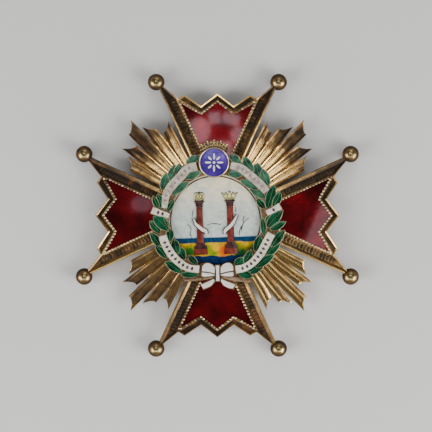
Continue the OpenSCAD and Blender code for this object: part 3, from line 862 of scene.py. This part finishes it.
def leaf_edges(x, y, tip_x, tip_y, width):
    """Edges of a leaf, wide enough on the ribbon's side to slip under the ribbon."""
    base, tip = Vector((x, y)), Vector((tip_x, tip_y))
    distance, side = ribbon_side(base, tip)
    longer = (tip - base) * LEAF_LONGER
    base, tip = base - longer, tip + longer
    normal = (tip - base).normalized().orthogonal()
    half = width * LEAF_WIDER / 2
    tucked = max(half, distance - RIBBON_COVER)
    left, right = (tucked if side == s else half for s in (1, -1))
    edges = []
    for k in range(LEAF_STATIONS + 1):
        s = k / LEAF_STATIONS
        share = max(0.05, sin(pi * s ** 0.9) ** 0.72)
        middle = base.lerp(tip, s)
        edges.append((middle + normal * left * share, middle - normal * right * share))
    return edges


def towards(pair, other, distance):
    """Pair of edge points moved towards another pair."""
    span = ((other[0] + other[1]) / 2 - (pair[0] + pair[1]) / 2).length
    share = min(0.45, distance / span)
    return pair[0].lerp(other[0], share), pair[1].lerp(other[1], share)


def cell_section(width, top, rim, crown, vein):
    """Distance across, height and patina of the points of a cell's section, from seat to seat."""
    bevel = min(BEVEL, 0.2 * width)
    side = [(0, 0, 0.9), (0, top - bevel, 0.4), (bevel, top, 0.0)]
    start = bevel
    if rim:
        start = min(rim, 0.46 * width)
        side.append((max(start - 0.03, bevel), top, 0.0))
    room = width - 2 * start
    field = []
    for f in FIELD:
        height = top - (RIM_RISE if rim else 0) + crown * min(1, room) * sin(pi * f) ** 0.8
        middle = start + f * room
        if vein and f == 0.5:
            half = min(vein, 0.2 * room)
            field += [(middle - half, height, 0.5), (middle, height + 0.05, 0), (middle + half, height, 0.5)]
        else:
            field.append((middle, height, 0.3))
    return side + field + [(width - d, h, p) for d, h, p in reversed(side)]


def cell_stations(edges, rim):
    """Edge points along a cell, each with what the cell is there: its foot, its rim or its field."""
    if not rim:
        return [(edges[0], "foot"), *((pair, "field") for pair in edges), (edges[-1], "foot")]
    first = towards(edges[0], edges[1], rim)
    final = towards(edges[-1], edges[-2], rim)
    return [(edges[0], "foot"), (edges[0], "rim"), (first, "rim"), (first, "field"),
            *((pair, "field") for pair in edges[1:-1]),
            (final, "field"), (final, "rim"), (edges[-1], "rim"), (edges[-1], "foot")]


def cell(piece, edges, seat, top, rim=0.0, crown=0.1, vein=0.0, slot=0):
    """Closed strip on a seat: a metal rim round enamel that rises to a crown, with a metal vein if asked."""
    rows = []
    for (left, right), kind in cell_stations(edges, rim):
        width = (right - left).length
        across = (right - left) / width
        section = cell_section(width, top, rim, crown, vein)
        row = []
        for i, (distance, height, patina_and_painted_light) in enumerate(section):
            if kind == "foot":
                height = 0
            elif kind == "rim" and 1 < i < len(section) - 2:
                height = top
            p = left + across * distance
            row += piece.add([Vector((p.x, p.y, seat(p) + height))], patina_and_painted_light)
        rows.append((row, kind))

    columns = len(rows[0][0]) - 1
    rim_columns = 4 if rim else 0
    vein_start = rim_columns + FIELD.index(0.5)
    for (a, kind_a), (b, kind_b) in zip(rows, rows[1:]):
        for k in range(columns):
            on_side = k < rim_columns or k >= columns - rim_columns
            on_rim = rim and (on_side or "field" not in (kind_a, kind_b))
            on_vein = vein and k in (vein_start, vein_start + 1)
            piece.slot = METAL if on_rim or on_vein else slot
            piece.face(a[k], a[k + 1], b[k + 1], b[k])


# Leaves: [x and y of the base, x and y of the tip, width], from the medallion's centre
LEAVES = {
    "leaves_top_left": [
        [-7.7, 15.6, -4.4, 17.35, 1.3], [-10.75, 12.6, -9.6, 15.2, 1.05], [-12.6, 11, -11.1, 14.8, 1.1],
        [-14.25, 8.3, -13.4, 12.5, 1.3], [-7.9, 11.4, -4, 13, 1.2], [-11.6, 7, -7.2, 10.3, 1.2]],
    "leaves_left": [
        [-13.8, 3.2, -15.4, 7.1, 1.4], [-15.4, 3.5, -16.65, 6.6, 1.1], [-12.9, 2.7, -11.1, 5.6, 1.2],
        [-16.4, 1, -12.8, -2.5, 1.6], [-17.4, -0.2, -14.8, -3.2, 1.4], [-13.7, 0.8, -12.2, -1.8, 0.7]],
    "leaves_bottom_left": [
        [-12, -2.2, -12.1, -5.4, 1.3], [-10.9, -5.1, -10, -8.6, 1.3], [-9.5, -7.1, -8.2, -10.2, 1.3],
        [-7.2, -9.3, -4.9, -11.6, 1.2], [-17.3, -3.4, -14.5, -7.35, 1.2],
        [-15.88, -6.88, -13.15, -9.98, 1.1], [-13.2, -11, -9.2, -13.8, 1.4],
        [-9.1, -14.3, -4.7, -14.4, 1.1]],
    "leaves_top_right": [
        [4, 17.65, 6.8, 15.5, 1.3], [7.7, 16.9, 10.1, 13.4, 1.3], [11.2, 15.3, 12.3, 11.6, 1.2],
        [12.7, 13.6, 14.3, 9.5, 1.3], [3.6, 12.6, 6.9, 12.1, 1.2], [6.8, 10.7, 11.3, 8.4, 1.1],
        [9.2, 8.6, 13.2, 6, 1.1]],
    "leaves_right": [
        [13.9, 3.6, 15.6, 9.4, 1.8], [15.3, 4, 17.1, 7.7, 1], [11.1, 5.9, 13.1, 3.3, 1.3],
        [14, -1.6, 17.8, 2.6, 1.5], [13.5, -0.3, 14.9, 1.5, 0.7], [14.8, -2.3, 18.6, -0.3, 1.3],
        [12.5, 0.8, 13, -3.9, 1.1]],
    "leaves_bottom_right": [
        [10.6, -8, 11.9, -3.9, 1.4], [7.7, -10.9, 9.4, -7.8, 1.1], [5.1, -11.6, 7.4, -9.8, 1.2],
        [15.1, -6.7, 18.3, -2.7, 1.4], [13.8, -9.1, 17.1, -6.1, 1.3], [11, -12.2, 15.4, -9.3, 1.3],
        [8.75, -13.9, 12.6, -12.35, 1.2], [6.3, -14.2, 9.8, -14.9, 1.2]]}

# Ribbons: [x, y, width] at points along the middle
RIBBONS = {
    "ribbon_top_left": [
        [-5, 14.6, 2.4], [-7.6, 13.8, 2.35], [-9.5, 11.7, 2.35], [-11.9, 9.1, 2.35], [-13.1, 7.2, 2.1],
        [-13.5, 5.2, 1.7], [-13.7, 3.4, 1.5]],
    "ribbon_left": [
        [-17, 2.9, 1.9], [-15.2, 2.2, 1.8], [-13.6, 1.75, 1.5], [-12.4, 1.3, 1.5]],
    "ribbon_bottom_left": [
        [-14.1, -3.9, 2.2], [-13.5, -5.9, 2.3], [-11.7, -9, 2.3], [-9.4, -11.3, 2.2], [-7, -12.6, 2],
        [-4.3, -12.9, 2.1]],
    "ribbon_top_right": [
        [4, 14.8, 1.9], [6.6, 14.1, 2.3], [9.1, 12.2, 2.35], [11.7, 10, 2.35], [13.7, 7.8, 1.9]],
    "ribbon_right": [
        [13.6, 2.1, 1.6], [15.2, 2.8, 1.6], [16.3, 3.4, 1.7], [17.3, 3.95, 2]],
    "ribbon_bottom_right": [
        [5.3, -13, 2.2], [7.7, -12.5, 2.15], [10.1, -10.9, 2.2], [12.3, -8.2, 2.3], [14, -5, 2.3],
        [14.9, -3.4, 2.3]]}

# Bow: [x and y on the upper edge, x and y on the lower edge], one table for each panel between folds
BOW = {
    "bow_left_loop": [
        [[-3.65, -12.25, -3.65, -13.5], [-2.95, -11.45, -2.95, -13.55], [-2, -11.2, -2, -13.65],
         [-1.05, -11.55, -1.05, -13.85], [-0.2, -12.35, -0.2, -14.1]],
        [[-3.7, -13.7, -3.7, -14.8], [-2.95, -13.75, -2.95, -14.9], [-2, -13.85, -2, -14.85],
         [-1.05, -14.05, -1.05, -14.75], [-0.2, -14.3, -0.2, -14.6]]],
    "bow_right_loop": [
        [[1.35, -12.35, 1.35, -14.1], [2.05, -11.6, 2.05, -13.85], [3, -11.15, 3, -13.6],
         [3.95, -11.25, 3.95, -13.45], [4.75, -12.1, 4.75, -13.4]],
        [[1.35, -14.3, 1.35, -14.6], [2.05, -14.05, 2.05, -14.75], [3, -13.8, 3, -14.85],
         [3.95, -13.65, 3.95, -14.85], [4.8, -13.6, 4.8, -14.75]]],
    "bow_left_tail": [
        [[-4.1, -17, -3.3, -18.15], [-2.9, -16.55, -2.3, -17.9], [-1.5, -15.9, -1, -17.2],
         [-0.35, -15.35, -0.3, -16.1]]],
    "bow_right_tail": [
        [[1.45, -15.35, 1.4, -16.1], [2.6, -15.9, 2.1, -17.2], [4.1, -16.5, 3.4, -17.9],
         [5.4, -17, 4.6, -18.1]]],
    "bow_knot": [
        [[0.05, -16.1, 1.15, -16.1], [0.1, -14.3, 1.05, -14.3], [0, -12.3, 1.05, -12.3],
         [-0.05, -11.9, 1.1, -11.9]]]}

ON_MEDALLION = Matrix.Translation(MEDALLION)


def on_face(p):
    """Seat of what lies on the flat plate of the wreath, the same at every point."""
    return FACE_Z


def leaves(node, rows):
    piece = Piece()
    for i, row in enumerate(rows):
        cell(piece, leaf_edges(*row), on_face, LEAF_TOP + 0.05 * (i % 2), rim=0.13, crown=0.05, vein=0.03)
    # The upper leaves take the green with the painted sheen
    green = PAINTED_SHEEN_GREEN if "top" in node else GREEN
    build(f"{node}_enamelled", piece, ON_MEDALLION, [green, GILT_PALE], node)


# Plain lozenges along the ribbons, worn pale on the two upper ones
MARK_PITCH = 1.35
MARK_LONG = 0.42
MARK_WIDE = 0.62
MARK_RISE = 0.012
WORN_RIBBONS = ("ribbon_top_left", "ribbon_top_right")


def ribbon(node, rows):
    piece = Piece()
    cell(piece, strip_edges(rows), on_face, RIBBON_TOP, rim=0.13, crown=0.03)
    piece.slot = 2
    path = [Vector(row[:2]) for row in curve(rows)]
    for p, along in along_path(path, MARK_PITCH, closed=False)[1:-1]:
        piece.dome(p, FACE_Z + RIBBON_TOP + 0.02, along, MARK_LONG, MARK_WIDE, MARK_RISE,
                   sides=4, steps=1, patina_and_painted_light=(0, 0))
    white, mark = (WORN_WHITE, FADED_MARK) if node in WORN_RIBBONS else (RIBBON_WHITE, RIBBON_MARK)
    build(f"{node}_enamelled", piece, ON_MEDALLION, [white, GILT_PALE, mark], node)


def bow(node, panels):
    piece = Piece()
    for rows in panels:
        cell(piece, edge_pairs(rows), on_face, BOW_TOP, rim=0.07, crown=0.1)
    build(f"{node}_enamelled", piece, ON_MEDALLION, [WHITE, GILT_DARK], node)


for make, table in ((leaves, LEAVES), (ribbon, RIBBONS), (bow, BOW)):
    for node, rows in table.items():
        make(node, rows)


# Blue disc in its setting, and the crown above it, from the disc's centre

ON_DISC = Matrix.Translation(MEDALLION + Vector((-0.4, 15.6, FACE_Z)))
BLUE_R = 3.71
BLUE_RINGS = 14
BLUE_TOP = 1.02
PETALS = 8
# The crown's inner edge, and half the arc that it takes up in degrees
CROWN_R = 4.25
CROWN_HALF = 44
PEARLS = 15
FLEURONS = 9

# Sections from the inside out: radius, height and patina
SETTING_SECTION = [
    (3.72, 0.3, 0.9), (3.74, 0.72, 0.5), (3.8, 0.84, 0.1), (3.88, 0.88, 0.0),
    (3.97, 0.84, 0.1), (4.03, 0.72, 0.4), (4.05, 0.45, 0.6), (4.05, 0.0, 0.9)]
CROWN_SECTION = [
    (0.0, 0.0, 0.9), (0.0, 0.66, 0.9), (0.05, 0.78, 0.3), (0.14, 0.8, 0.2), (0.2, 0.68, 1.0),
    (0.44, 0.68, 1.0), (0.5, 0.8, 0.3), (0.6, 0.78, 0.3), (0.65, 0.66, 0.9), (0.65, 0.0, 0.9)]

# Parts of a fleuron: distance out from its foot, side, height, half length, half width, rise, sides, patina
SMALL_FLEURON = [
    (0.3, 0, 0.35, 0.42, 0.16, 0.34, 10, (0.2, 1.1)),
    (0.66, 0, 0.4, 0.24, 0.24, 0.46, 12, (-0.3, 1.0))]
LARGE_FLEURON = [
    (0.42, 0, 0.35, 0.62, 0.14, 0.4, 12, (0.1, 1.1)),
    (0.52, -1, 0.35, 0.3, 0.13, 0.42, 10, (-0.1, 1.0)),
    (0.52, 1, 0.35, 0.3, 0.13, 0.42, 10, (-0.1, 1.0)),
    (1.02, 0, 0.4, 0.3, 0.3, 0.52, 14, (-0.35, 0.9))]


def ring_rows(piece, profile, sides=72, start=0.0, sweep=360.0):
    """Rings, or arcs, of points for a profile of radius, height and patina rows."""
    count = sides if sweep == 360 else sides + 1
    outwards = [heading(radians(start + sweep * i / sides)) for i in range(count)]
    return [piece.add([radius * out + upwards(height) for out in outwards], patina_and_painted_light)
            for radius, height, patina_and_painted_light in profile]


def disc_setting():
    piece = Piece()
    piece.bands(ring_rows(piece, SETTING_SECTION[::-1]))
    build("disc_setting_rounded", piece, ON_DISC, [GILT_PALE], "disc_setting")


def blue_disc():
    """Crowned blue disc with a plain flower of eight petals in white."""
    piece = Piece()
    profile = [(BLUE_R, 0.37, 0), (BLUE_R, 0.74, 0)]
    for k in range(1, BLUE_RINGS):
        r = BLUE_R * cos(pi / 2 * k / BLUE_RINGS)
        profile.append((r, 0.76 + 0.26 * (1 - (r / BLUE_R) ** 2.2), 0))
    rows = ring_rows(piece, profile)
    piece.bands(rows)
    piece.cap(rows[-1], upwards(BLUE_TOP))
    piece.slot = 1
    for k, along in enumerate(map(heading, turns(PETALS))):
        piece.dome(along * 1.55, 0.96, along, 0.7 if k % 2 else 0.95, 0.27, 0.1, sides=16, patina_and_painted_light=(0, 0))
    piece.dome(Vector((0, 0)), BLUE_TOP - 0.01, heading(0), 0.36, 0.36, 0.12, sides=16, patina_and_painted_light=(0, 0))
    build("blue_disc_enamelled", piece, ON_DISC, [BLUE, WHITE], "blue_disc")


def crown_directions(count, margin):
    """Directions spread over the crown's arc, less a margin in degrees at each end."""
    half = CROWN_HALF - margin
    for k in range(count):
        angle = radians(90 - half + k * 2 * half / (count - 1))
        yield heading(angle), heading(angle + pi / 2)


def crown():
    """Band round the top of the setting, with pearls on it and fleurons outside it."""
    piece = Piece()
    profile = [(CROWN_R + r, height, patina_and_painted_light) for r, height, patina_and_painted_light in CROWN_SECTION]
    rows = ring_rows(piece, profile, sides=40, start=90 - CROWN_HALF, sweep=2 * CROWN_HALF)
    piece.bands([row[::-1] for row in rows], closed=False)
    piece.face(*(row[0] for row in reversed(rows)))
    piece.face(*(row[-1] for row in rows))
    for out, side in crown_directions(PEARLS, 3):
        piece.dome(out * (CROWN_R + 0.32), 0.66, side, 0.16, 0.13, 0.2, sides=10, patina_and_painted_light=(-0.3, 1.0))
    for k, (out, side) in enumerate(crown_directions(FLEURONS, 8)):
        fleuron = SMALL_FLEURON if k % 2 else LARGE_FLEURON
        for distance, hand, height, long, wide, rise, sides, patina_and_painted_light in fleuron:
            lean = (out * 0.6 + side * hand).normalized()
            spot = out * (CROWN_R + 0.6 + distance) + side * (0.27 * hand)
            piece.dome(spot, height, lean, long, wide, rise, sides=sides, patina_and_painted_light=patina_and_painted_light)
    build("crown_pearled", piece, ON_DISC, [GILT_CROWN], "crown")


disc_setting()
blue_disc()
crown()


# Picture: low painted relief on a domed disc

# Thickness of the disc at its edge, and how far it rises from there to its middle
PICTURE_EDGE = 0.45
PICTURE_CROWN = 0.6
PICTURE_DISC_R = 13.3
PICTURE_RINGS = 24
DOME_R = (PICTURE_DISC_R ** 2 + PICTURE_CROWN ** 2) / (2 * PICTURE_CROWN)

# Narrow gilt bezel round the opening, from the outside in: radius, height above the disc and patina
BEZEL = [(12.18, -0.02, 0.5), (12.1, 0.08, 0.2), (11.98, 0.11, 0.1), (11.86, 0.08, 0.2), (11.78, -0.02, 0.5)]

# Paints, in the order of the painted relief's materials
SHAFT, STONE, GOLD, BANNER, LINE = range(5)

# Columns: their middle lines, the top of their plinths and the foot of the crowns on them
COLUMN_X = (-4.2, 3.95)
COLUMN_Y = -7.75
CROWN_Y = 5.6

# Column, from its middle line and the top of its plinth: [x, y, width] from top to bottom, paint, relief
COLUMN = [
    ([[0, 13.25, 2.6], [0, 12.85, 2.7]], STONE, 0.17),
    ([[0, 12.8, 2.1], [0, 12.0, 1.75], [0, 11.6, 1.95]], STONE, 0.23),
    ([[0, 11.55, 1.55], [0, 6.5, 1.65], [0, 2.0, 1.75]], SHAFT, 0.19),
    ([[0, 2.0, 2.2], [0, 1.6, 2.4], [0, 1.3, 2.2]], STONE, 0.25),
    ([[0, 1.3, 3.0], [0, 0.85, 3.3], [0, 0.4, 3.1]], STONE, 0.25),
    ([[0, 0.35, 3.4], [0, -0.3, 3.6], [0, -1.2, 3.6]], SHAFT, 0.17)]

# Left half of the crown on each column: x, y of its lower edge and y of its upper edge
CLOSED_CROWN = [(-1.45, 0.95, 1.25), (-1.15, 0.35, 1.8), (-0.6, 0.05, 1.95), (0, 0, 1.75)]
OPEN_CROWN = [
    (-1.95, 1.45, 1.75), (-1.4, 0.55, 1.25), (-0.95, 0.15, 1.75), (-0.5, 0.05, 1.2), (0, 0, 2.05)]
# Right arch of the closed crown: x, y and width
CROWN_ARCH = [(0.45, 0.65, 0.2), (0.85, 1.0, 0.26), (0.75, 1.4, 0.26), (0.35, 1.6, 0.2)]

# Bare bands wound round the shafts: [x, y, width]
BANDS = [
    [[-5.9, 0.9, 0.25], [-5.5, -0.2, 0.5], [-5.2, -0.9, 0.7]],
    [[-5.4, -0.6, 0.6], [-4.3, -1.6, 0.9], [-3.1, -2.6, 0.9]],
    [[-3.4, -2.1, 0.8], [-2.7, -2.7, 0.9], [-2.5, -3.5, 0.5]],
    [[2.3, -3.6, 0.4], [2.5, -2.7, 0.85], [3.2, -2.0, 0.85]],
    [[2.8, -2.4, 0.8], [4.0, -1.4, 0.9], [5.0, -0.2, 0.8]],
    [[4.8, -0.5, 0.6], [5.3, 0.5, 0.6], [5.9, 1.5, 0.3]]]

# Loose ends of the bands and, third, the line of a far hill: [x, y, width]
THIN_LINES = [
    [[-7.6, -0.6, 0.12], [-6.9, -1.3, 0.24], [-6.6, -2.2, 0.16], [-6.9, -3.2, 0.24], [-6.4, -4.4, 0.12]],
    [[-6.1, 1.4, 0.1], [-6.0, 2.6, 0.2], [-5.8, 3.3, 0.1]],
    [[-2.4, -1.1, 0.1], [-1.3, -0.75, 0.2], [0.2, -0.75, 0.2], [1.2, -1.0, 0.2], [1.5, -0.6, 0.1]],
    [[6.2, -4.2, 0.1], [6.5, -2.4, 0.26], [7.3, -1.0, 0.16], [7.4, 0.4, 0.22], [7.9, 1.0, 0.1]],
    [[7.0, -3.0, 0.1], [6.9, -2.2, 0.22], [7.6, -0.6, 0.16], [8.9, 0.5, 0.22]],
    [[5.3, 2.2, 0.1], [5.5, 3.0, 0.2], [5.4, 3.6, 0.1]]]


def on_dome(p):
    drop = DOME_R - sqrt(DOME_R ** 2 - p.x ** 2 - p.y ** 2)
    return PICTURE_Z + PICTURE_EDGE + PICTURE_CROWN - drop


def picture_disc():
    piece = Piece()
    profile = [(PICTURE_DISC_R, PICTURE_Z, 0.5), (PICTURE_DISC_R, PICTURE_Z + PICTURE_EDGE, 0.5)]
    for k in range(1, PICTURE_RINGS):
        r = PICTURE_DISC_R * (1 - k / PICTURE_RINGS)
        profile.append((r, on_dome(Vector((r, 0))), 0))
    rows = ring_rows(piece, profile, sides=96)
    piece.bands(rows)
    piece.face(*reversed(rows[0]))
    piece.cap(rows[-1], upwards(on_dome(Vector((0, 0)))))
    piece.slot = 1
    bezel = [(r, on_dome(Vector((r, 0))) + z, patina_and_painted_light) for r, z, patina_and_painted_light in BEZEL]
    piece.bands(ring_rows(piece, bezel, sides=96))
    build("picture_painted_disc", piece, ON_MEDALLION, [PICTURE, GILT_PLATE], "picture_disc")


def outlined(piece, edges, lift, paint, outline, crown=0.05):
    """Painted shape with a thin dark line round it."""
    wider = []
    for left, right in edges:
        across = (right - left).normalized() * outline
        wider.append((left - across, right + across))
    cell(piece, wider, on_dome, lift, crown=0, slot=LINE)
    cell(piece, edges, on_dome, lift + 0.03, crown=crown, slot=paint)


def stroke(piece, rows, lift, paint, x=0, y=0, outline=0.01, crown=0.05):
    """Painted strip given by [x, y, width] rows, moved by x and y."""
    edges = strip_edges([[row[0] + x, row[1] + y, row[2]] for row in rows])
    outlined(piece, edges, lift, paint, outline, crown)


def crown_fill(piece, x, half):
    """Pale gold field of a crown, from its left half."""
    rows = half + [(-a, low, high) for a, low, high in half[-2::-1]]
    edges = edge_pairs([[x + a, CROWN_Y + low, x + a, CROWN_Y + high] for a, low, high in rows])
    outlined(piece, edges, 0.06, GOLD, 0.28)


def crown_foot(piece, x, half):
    stroke(piece, [[-half, 0.46, 0.2], [0, 0.36, 0.2], [half, 0.46, 0.2]], 0.16, LINE, x, CROWN_Y)


def beads(piece, x, spots, paint):
    """Small balls on a crown: x, y and radius of each."""
    piece.slot = paint
    for spot_x, spot_y, r in spots:
        p = Vector((x + spot_x, CROWN_Y + spot_y))
        piece.dome(p, on_dome(p) + 0.08, heading(0), r, r, 0.14, patina_and_painted_light=(0, 0.5))


def closed_crown(piece, x):
    crown_fill(piece, x, CLOSED_CROWN)
    for lean in (-1, 0, 1):
        stroke(piece, [[a * lean, b, width] for a, b, width in CROWN_ARCH], 0.16, LINE, x, CROWN_Y)
    crown_foot(piece, x, 1.1)
    beads(piece, x, ((0, 2.1, 0.26),), LINE)
    beads(piece, x, ((0, 2.08, 0.14), (-1.35, 1.1, 0.15), (1.35, 1.1, 0.15)), GOLD)


def open_crown(piece, x):
    crown_fill(piece, x, OPEN_CROWN)
    crown_foot(piece, x, 1.0)
    beads(piece, x, (
        (-2.0, 1.75, 0.22), (-0.95, 1.85, 0.2), (0, 2.15, 0.24), (0.95, 1.85, 0.2), (2.0, 1.75, 0.22),
        (-0.5, 0.85, 0.18), (0.5, 0.85, 0.18)), LINE)


def painted_relief():
    piece = Piece()
    for x, crown_shape in zip(COLUMN_X, (closed_crown, open_crown)):
        for rows, paint, relief in COLUMN:
            stroke(piece, rows, relief, paint, x, COLUMN_Y, outline=0.07, crown=0.16)
        crown_shape(piece, x)
    for rows in BANDS:
        stroke(piece, rows, 0.34, BANNER, outline=0.24)
    for rows in THIN_LINES:
        stroke(piece, rows, 0.02, LINE, crown=0.0)
    place = ON_MEDALLION @ Matrix.Rotation(PICTURE_TURN, 4, "Z")
    build("picture_relief", piece, place, [BRICK, STONE_RED, PALE_GOLD, WHITE, DARK_LINE])


picture_disc()
painted_relief()


# Stems that cross under the bow: x and y of one end, x and y of the other, width

STEMS = [(-8.4, -15.9, -0.5, -15.0, 0.8), (1.7, -15.0, 9.6, -16.1, 1.0)]


def stems():
    piece = Piece()
    for x, y, tip_x, tip_y, width in STEMS:
        middle = [(x + tip_x) / 2, (y + tip_y) / 2, width]
        rows = [[x, y, width * 0.7], middle, [tip_x, tip_y, width * 0.7]]
        cell(piece, strip_edges(rows), on_face, STEM_TOP, crown=0.14)
    build("stems_ribbed", piece, ON_MEDALLION, [GILT_STEM], "stems")


stems()


# Materials of the nodes that keep their construction's shape

PLAIN_NODES = {"back_plate": GILT, "brooch_pin": GILT, "medallion_base": GILT, "wreath_plate": GILT_PLATE}

for node, material in PLAIN_NODES.items():
    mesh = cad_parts[node].data
    mesh.materials.clear()
    mesh.materials.append(material)


# Floor, light and camera

FLOOR_HALF = 2
LIGHT_LEVEL = 3.3
CARD_DISTANCE = 0.55
COOL = (0.9, 0.92, 1.0)


def stage_floor():
    mesh = bpy.data.meshes.new("floor")
    corners = [(x * FLOOR_HALF, y * FLOOR_HALF, 0) for x, y in ((-1, -1), (1, -1), (1, 1), (-1, 1))]
    mesh.from_pydata(corners, [], [(0, 1, 2, 3)])
    material, n = new_material("floor")
    n.shader(Base_Color=(0.8, 0.79, 0.77), Roughness=0.9, Specular_IOR_Level=0.1)
    mesh.materials.append(material)
    add_object("floor", mesh)


def dim_world():
    """Dark overhead, a little lighter towards the horizon."""
    world = bpy.data.worlds.new("studio")
    world.use_nodes = True
    n = Nodes(world.node_tree)
    greys = [(stop, (grey, grey, grey * 1.02)) for stop, grey in ((0.0, 0.3), (0.5, 0.16), (0.9, 0.08))]
    colour = n.ramp(n.part("Z", n.position("Generated")), greys)
    n.feed(world.node_tree.nodes["Background"].inputs["Color"], colour)
    bpy.context.scene.world = world


def light_card(name, place, width, height, radiance, colour=(1, 1, 1), shape="RECTANGLE"):
    area = width * height * (pi / 4 if shape == "ELLIPSE" else 1)
    light = bpy.data.lights.new(name, "AREA")
    light.shape = shape
    light.size = width
    light.size_y = height
    light.energy = LIGHT_LEVEL * radiance * area
    light.color = colour
    obj = add_object(name, light)
    obj.location = place
    return obj


def overhead(name, west, east, south, north, radiance, colour=(1, 1, 1), shape="RECTANGLE", turn=0):
    """Flat card above the star, between directions given in degrees from straight up."""
    west, east, south, north = (CARD_DISTANCE * tan(radians(a)) for a in (west, east, south, north))
    place = Vector(((west + east) / 2, (south + north) / 2, CARD_DISTANCE))
    obj = light_card(name, place, east - west, north - south, radiance, colour, shape)
    obj.rotation_euler.z = radians(turn)


def card(name, azimuth, polar, width, height, radiance):
    """Card that faces the star, placed and sized in degrees as the star sees it."""
    polar = radians(polar)
    place = heading(radians(azimuth)) * sin(polar) + upwards(cos(polar))
    width, height = (2 * CARD_DISTANCE * tan(radians(a / 2)) for a in (width, height))
    obj = light_card(name, place * CARD_DISTANCE, width, height, radiance)
    obj.rotation_euler = place.to_track_quat("Z", "Y").to_euler()


stage_floor()
dim_world()
overhead("north_west", -8.8, -2.0, 11.4, 18.8, 4, COOL, "ELLIPSE")
overhead("far_west", -2.5, 0.9, 17.0, 20.2, 4.5, COOL, turn=8)
overhead("far_east", 1.6, 6.6, 16.8, 19.8, 4.5, COOL, turn=-14)
overhead("north_east", 3.8, 8.4, 11.4, 16.2, 3.6, COOL, "ELLIPSE")
overhead("near", -3.6, 4.2, 7.0, 12.0, 4, COOL)
overhead("west", -15.5, -9.4, 0.9, 5.6, 1.7, (0.8, 0.82, 1.0), "ELLIPSE")
overhead("east", 17.8, 23.8, -11, 3.5, 2.4, COOL, turn=-25)
overhead("rays_west", -13, -8.6, 7.6, 13, 5)
overhead("rays_east", 8.6, 13, 7.6, 13, 7)
card("south_west", 205, 64, 40, 32, 6.5)
card("south_east", 333, 64, 40, 32, 8)
card("south", 268, 40, 60, 20, 1.6)
card("north", 82, 50, 34, 16, 1.5)

# Camera, in metres: the width of the view at the height of the face, and the view's middle
LENS = 180
SENSOR = 36
VIEW_WIDTH = 0.1161
VIEW_MIDDLE = (-0.000376, -0.000188)
FACE_HEIGHT = 0.004
camera = bpy.data.cameras.new("camera")
camera.lens = LENS
camera.sensor_width = SENSOR
camera_object = add_object("camera", camera)
camera_object.location = (*VIEW_MIDDLE, FACE_HEIGHT + VIEW_WIDTH * LENS / SENSOR)
bpy.context.scene.camera = camera_object
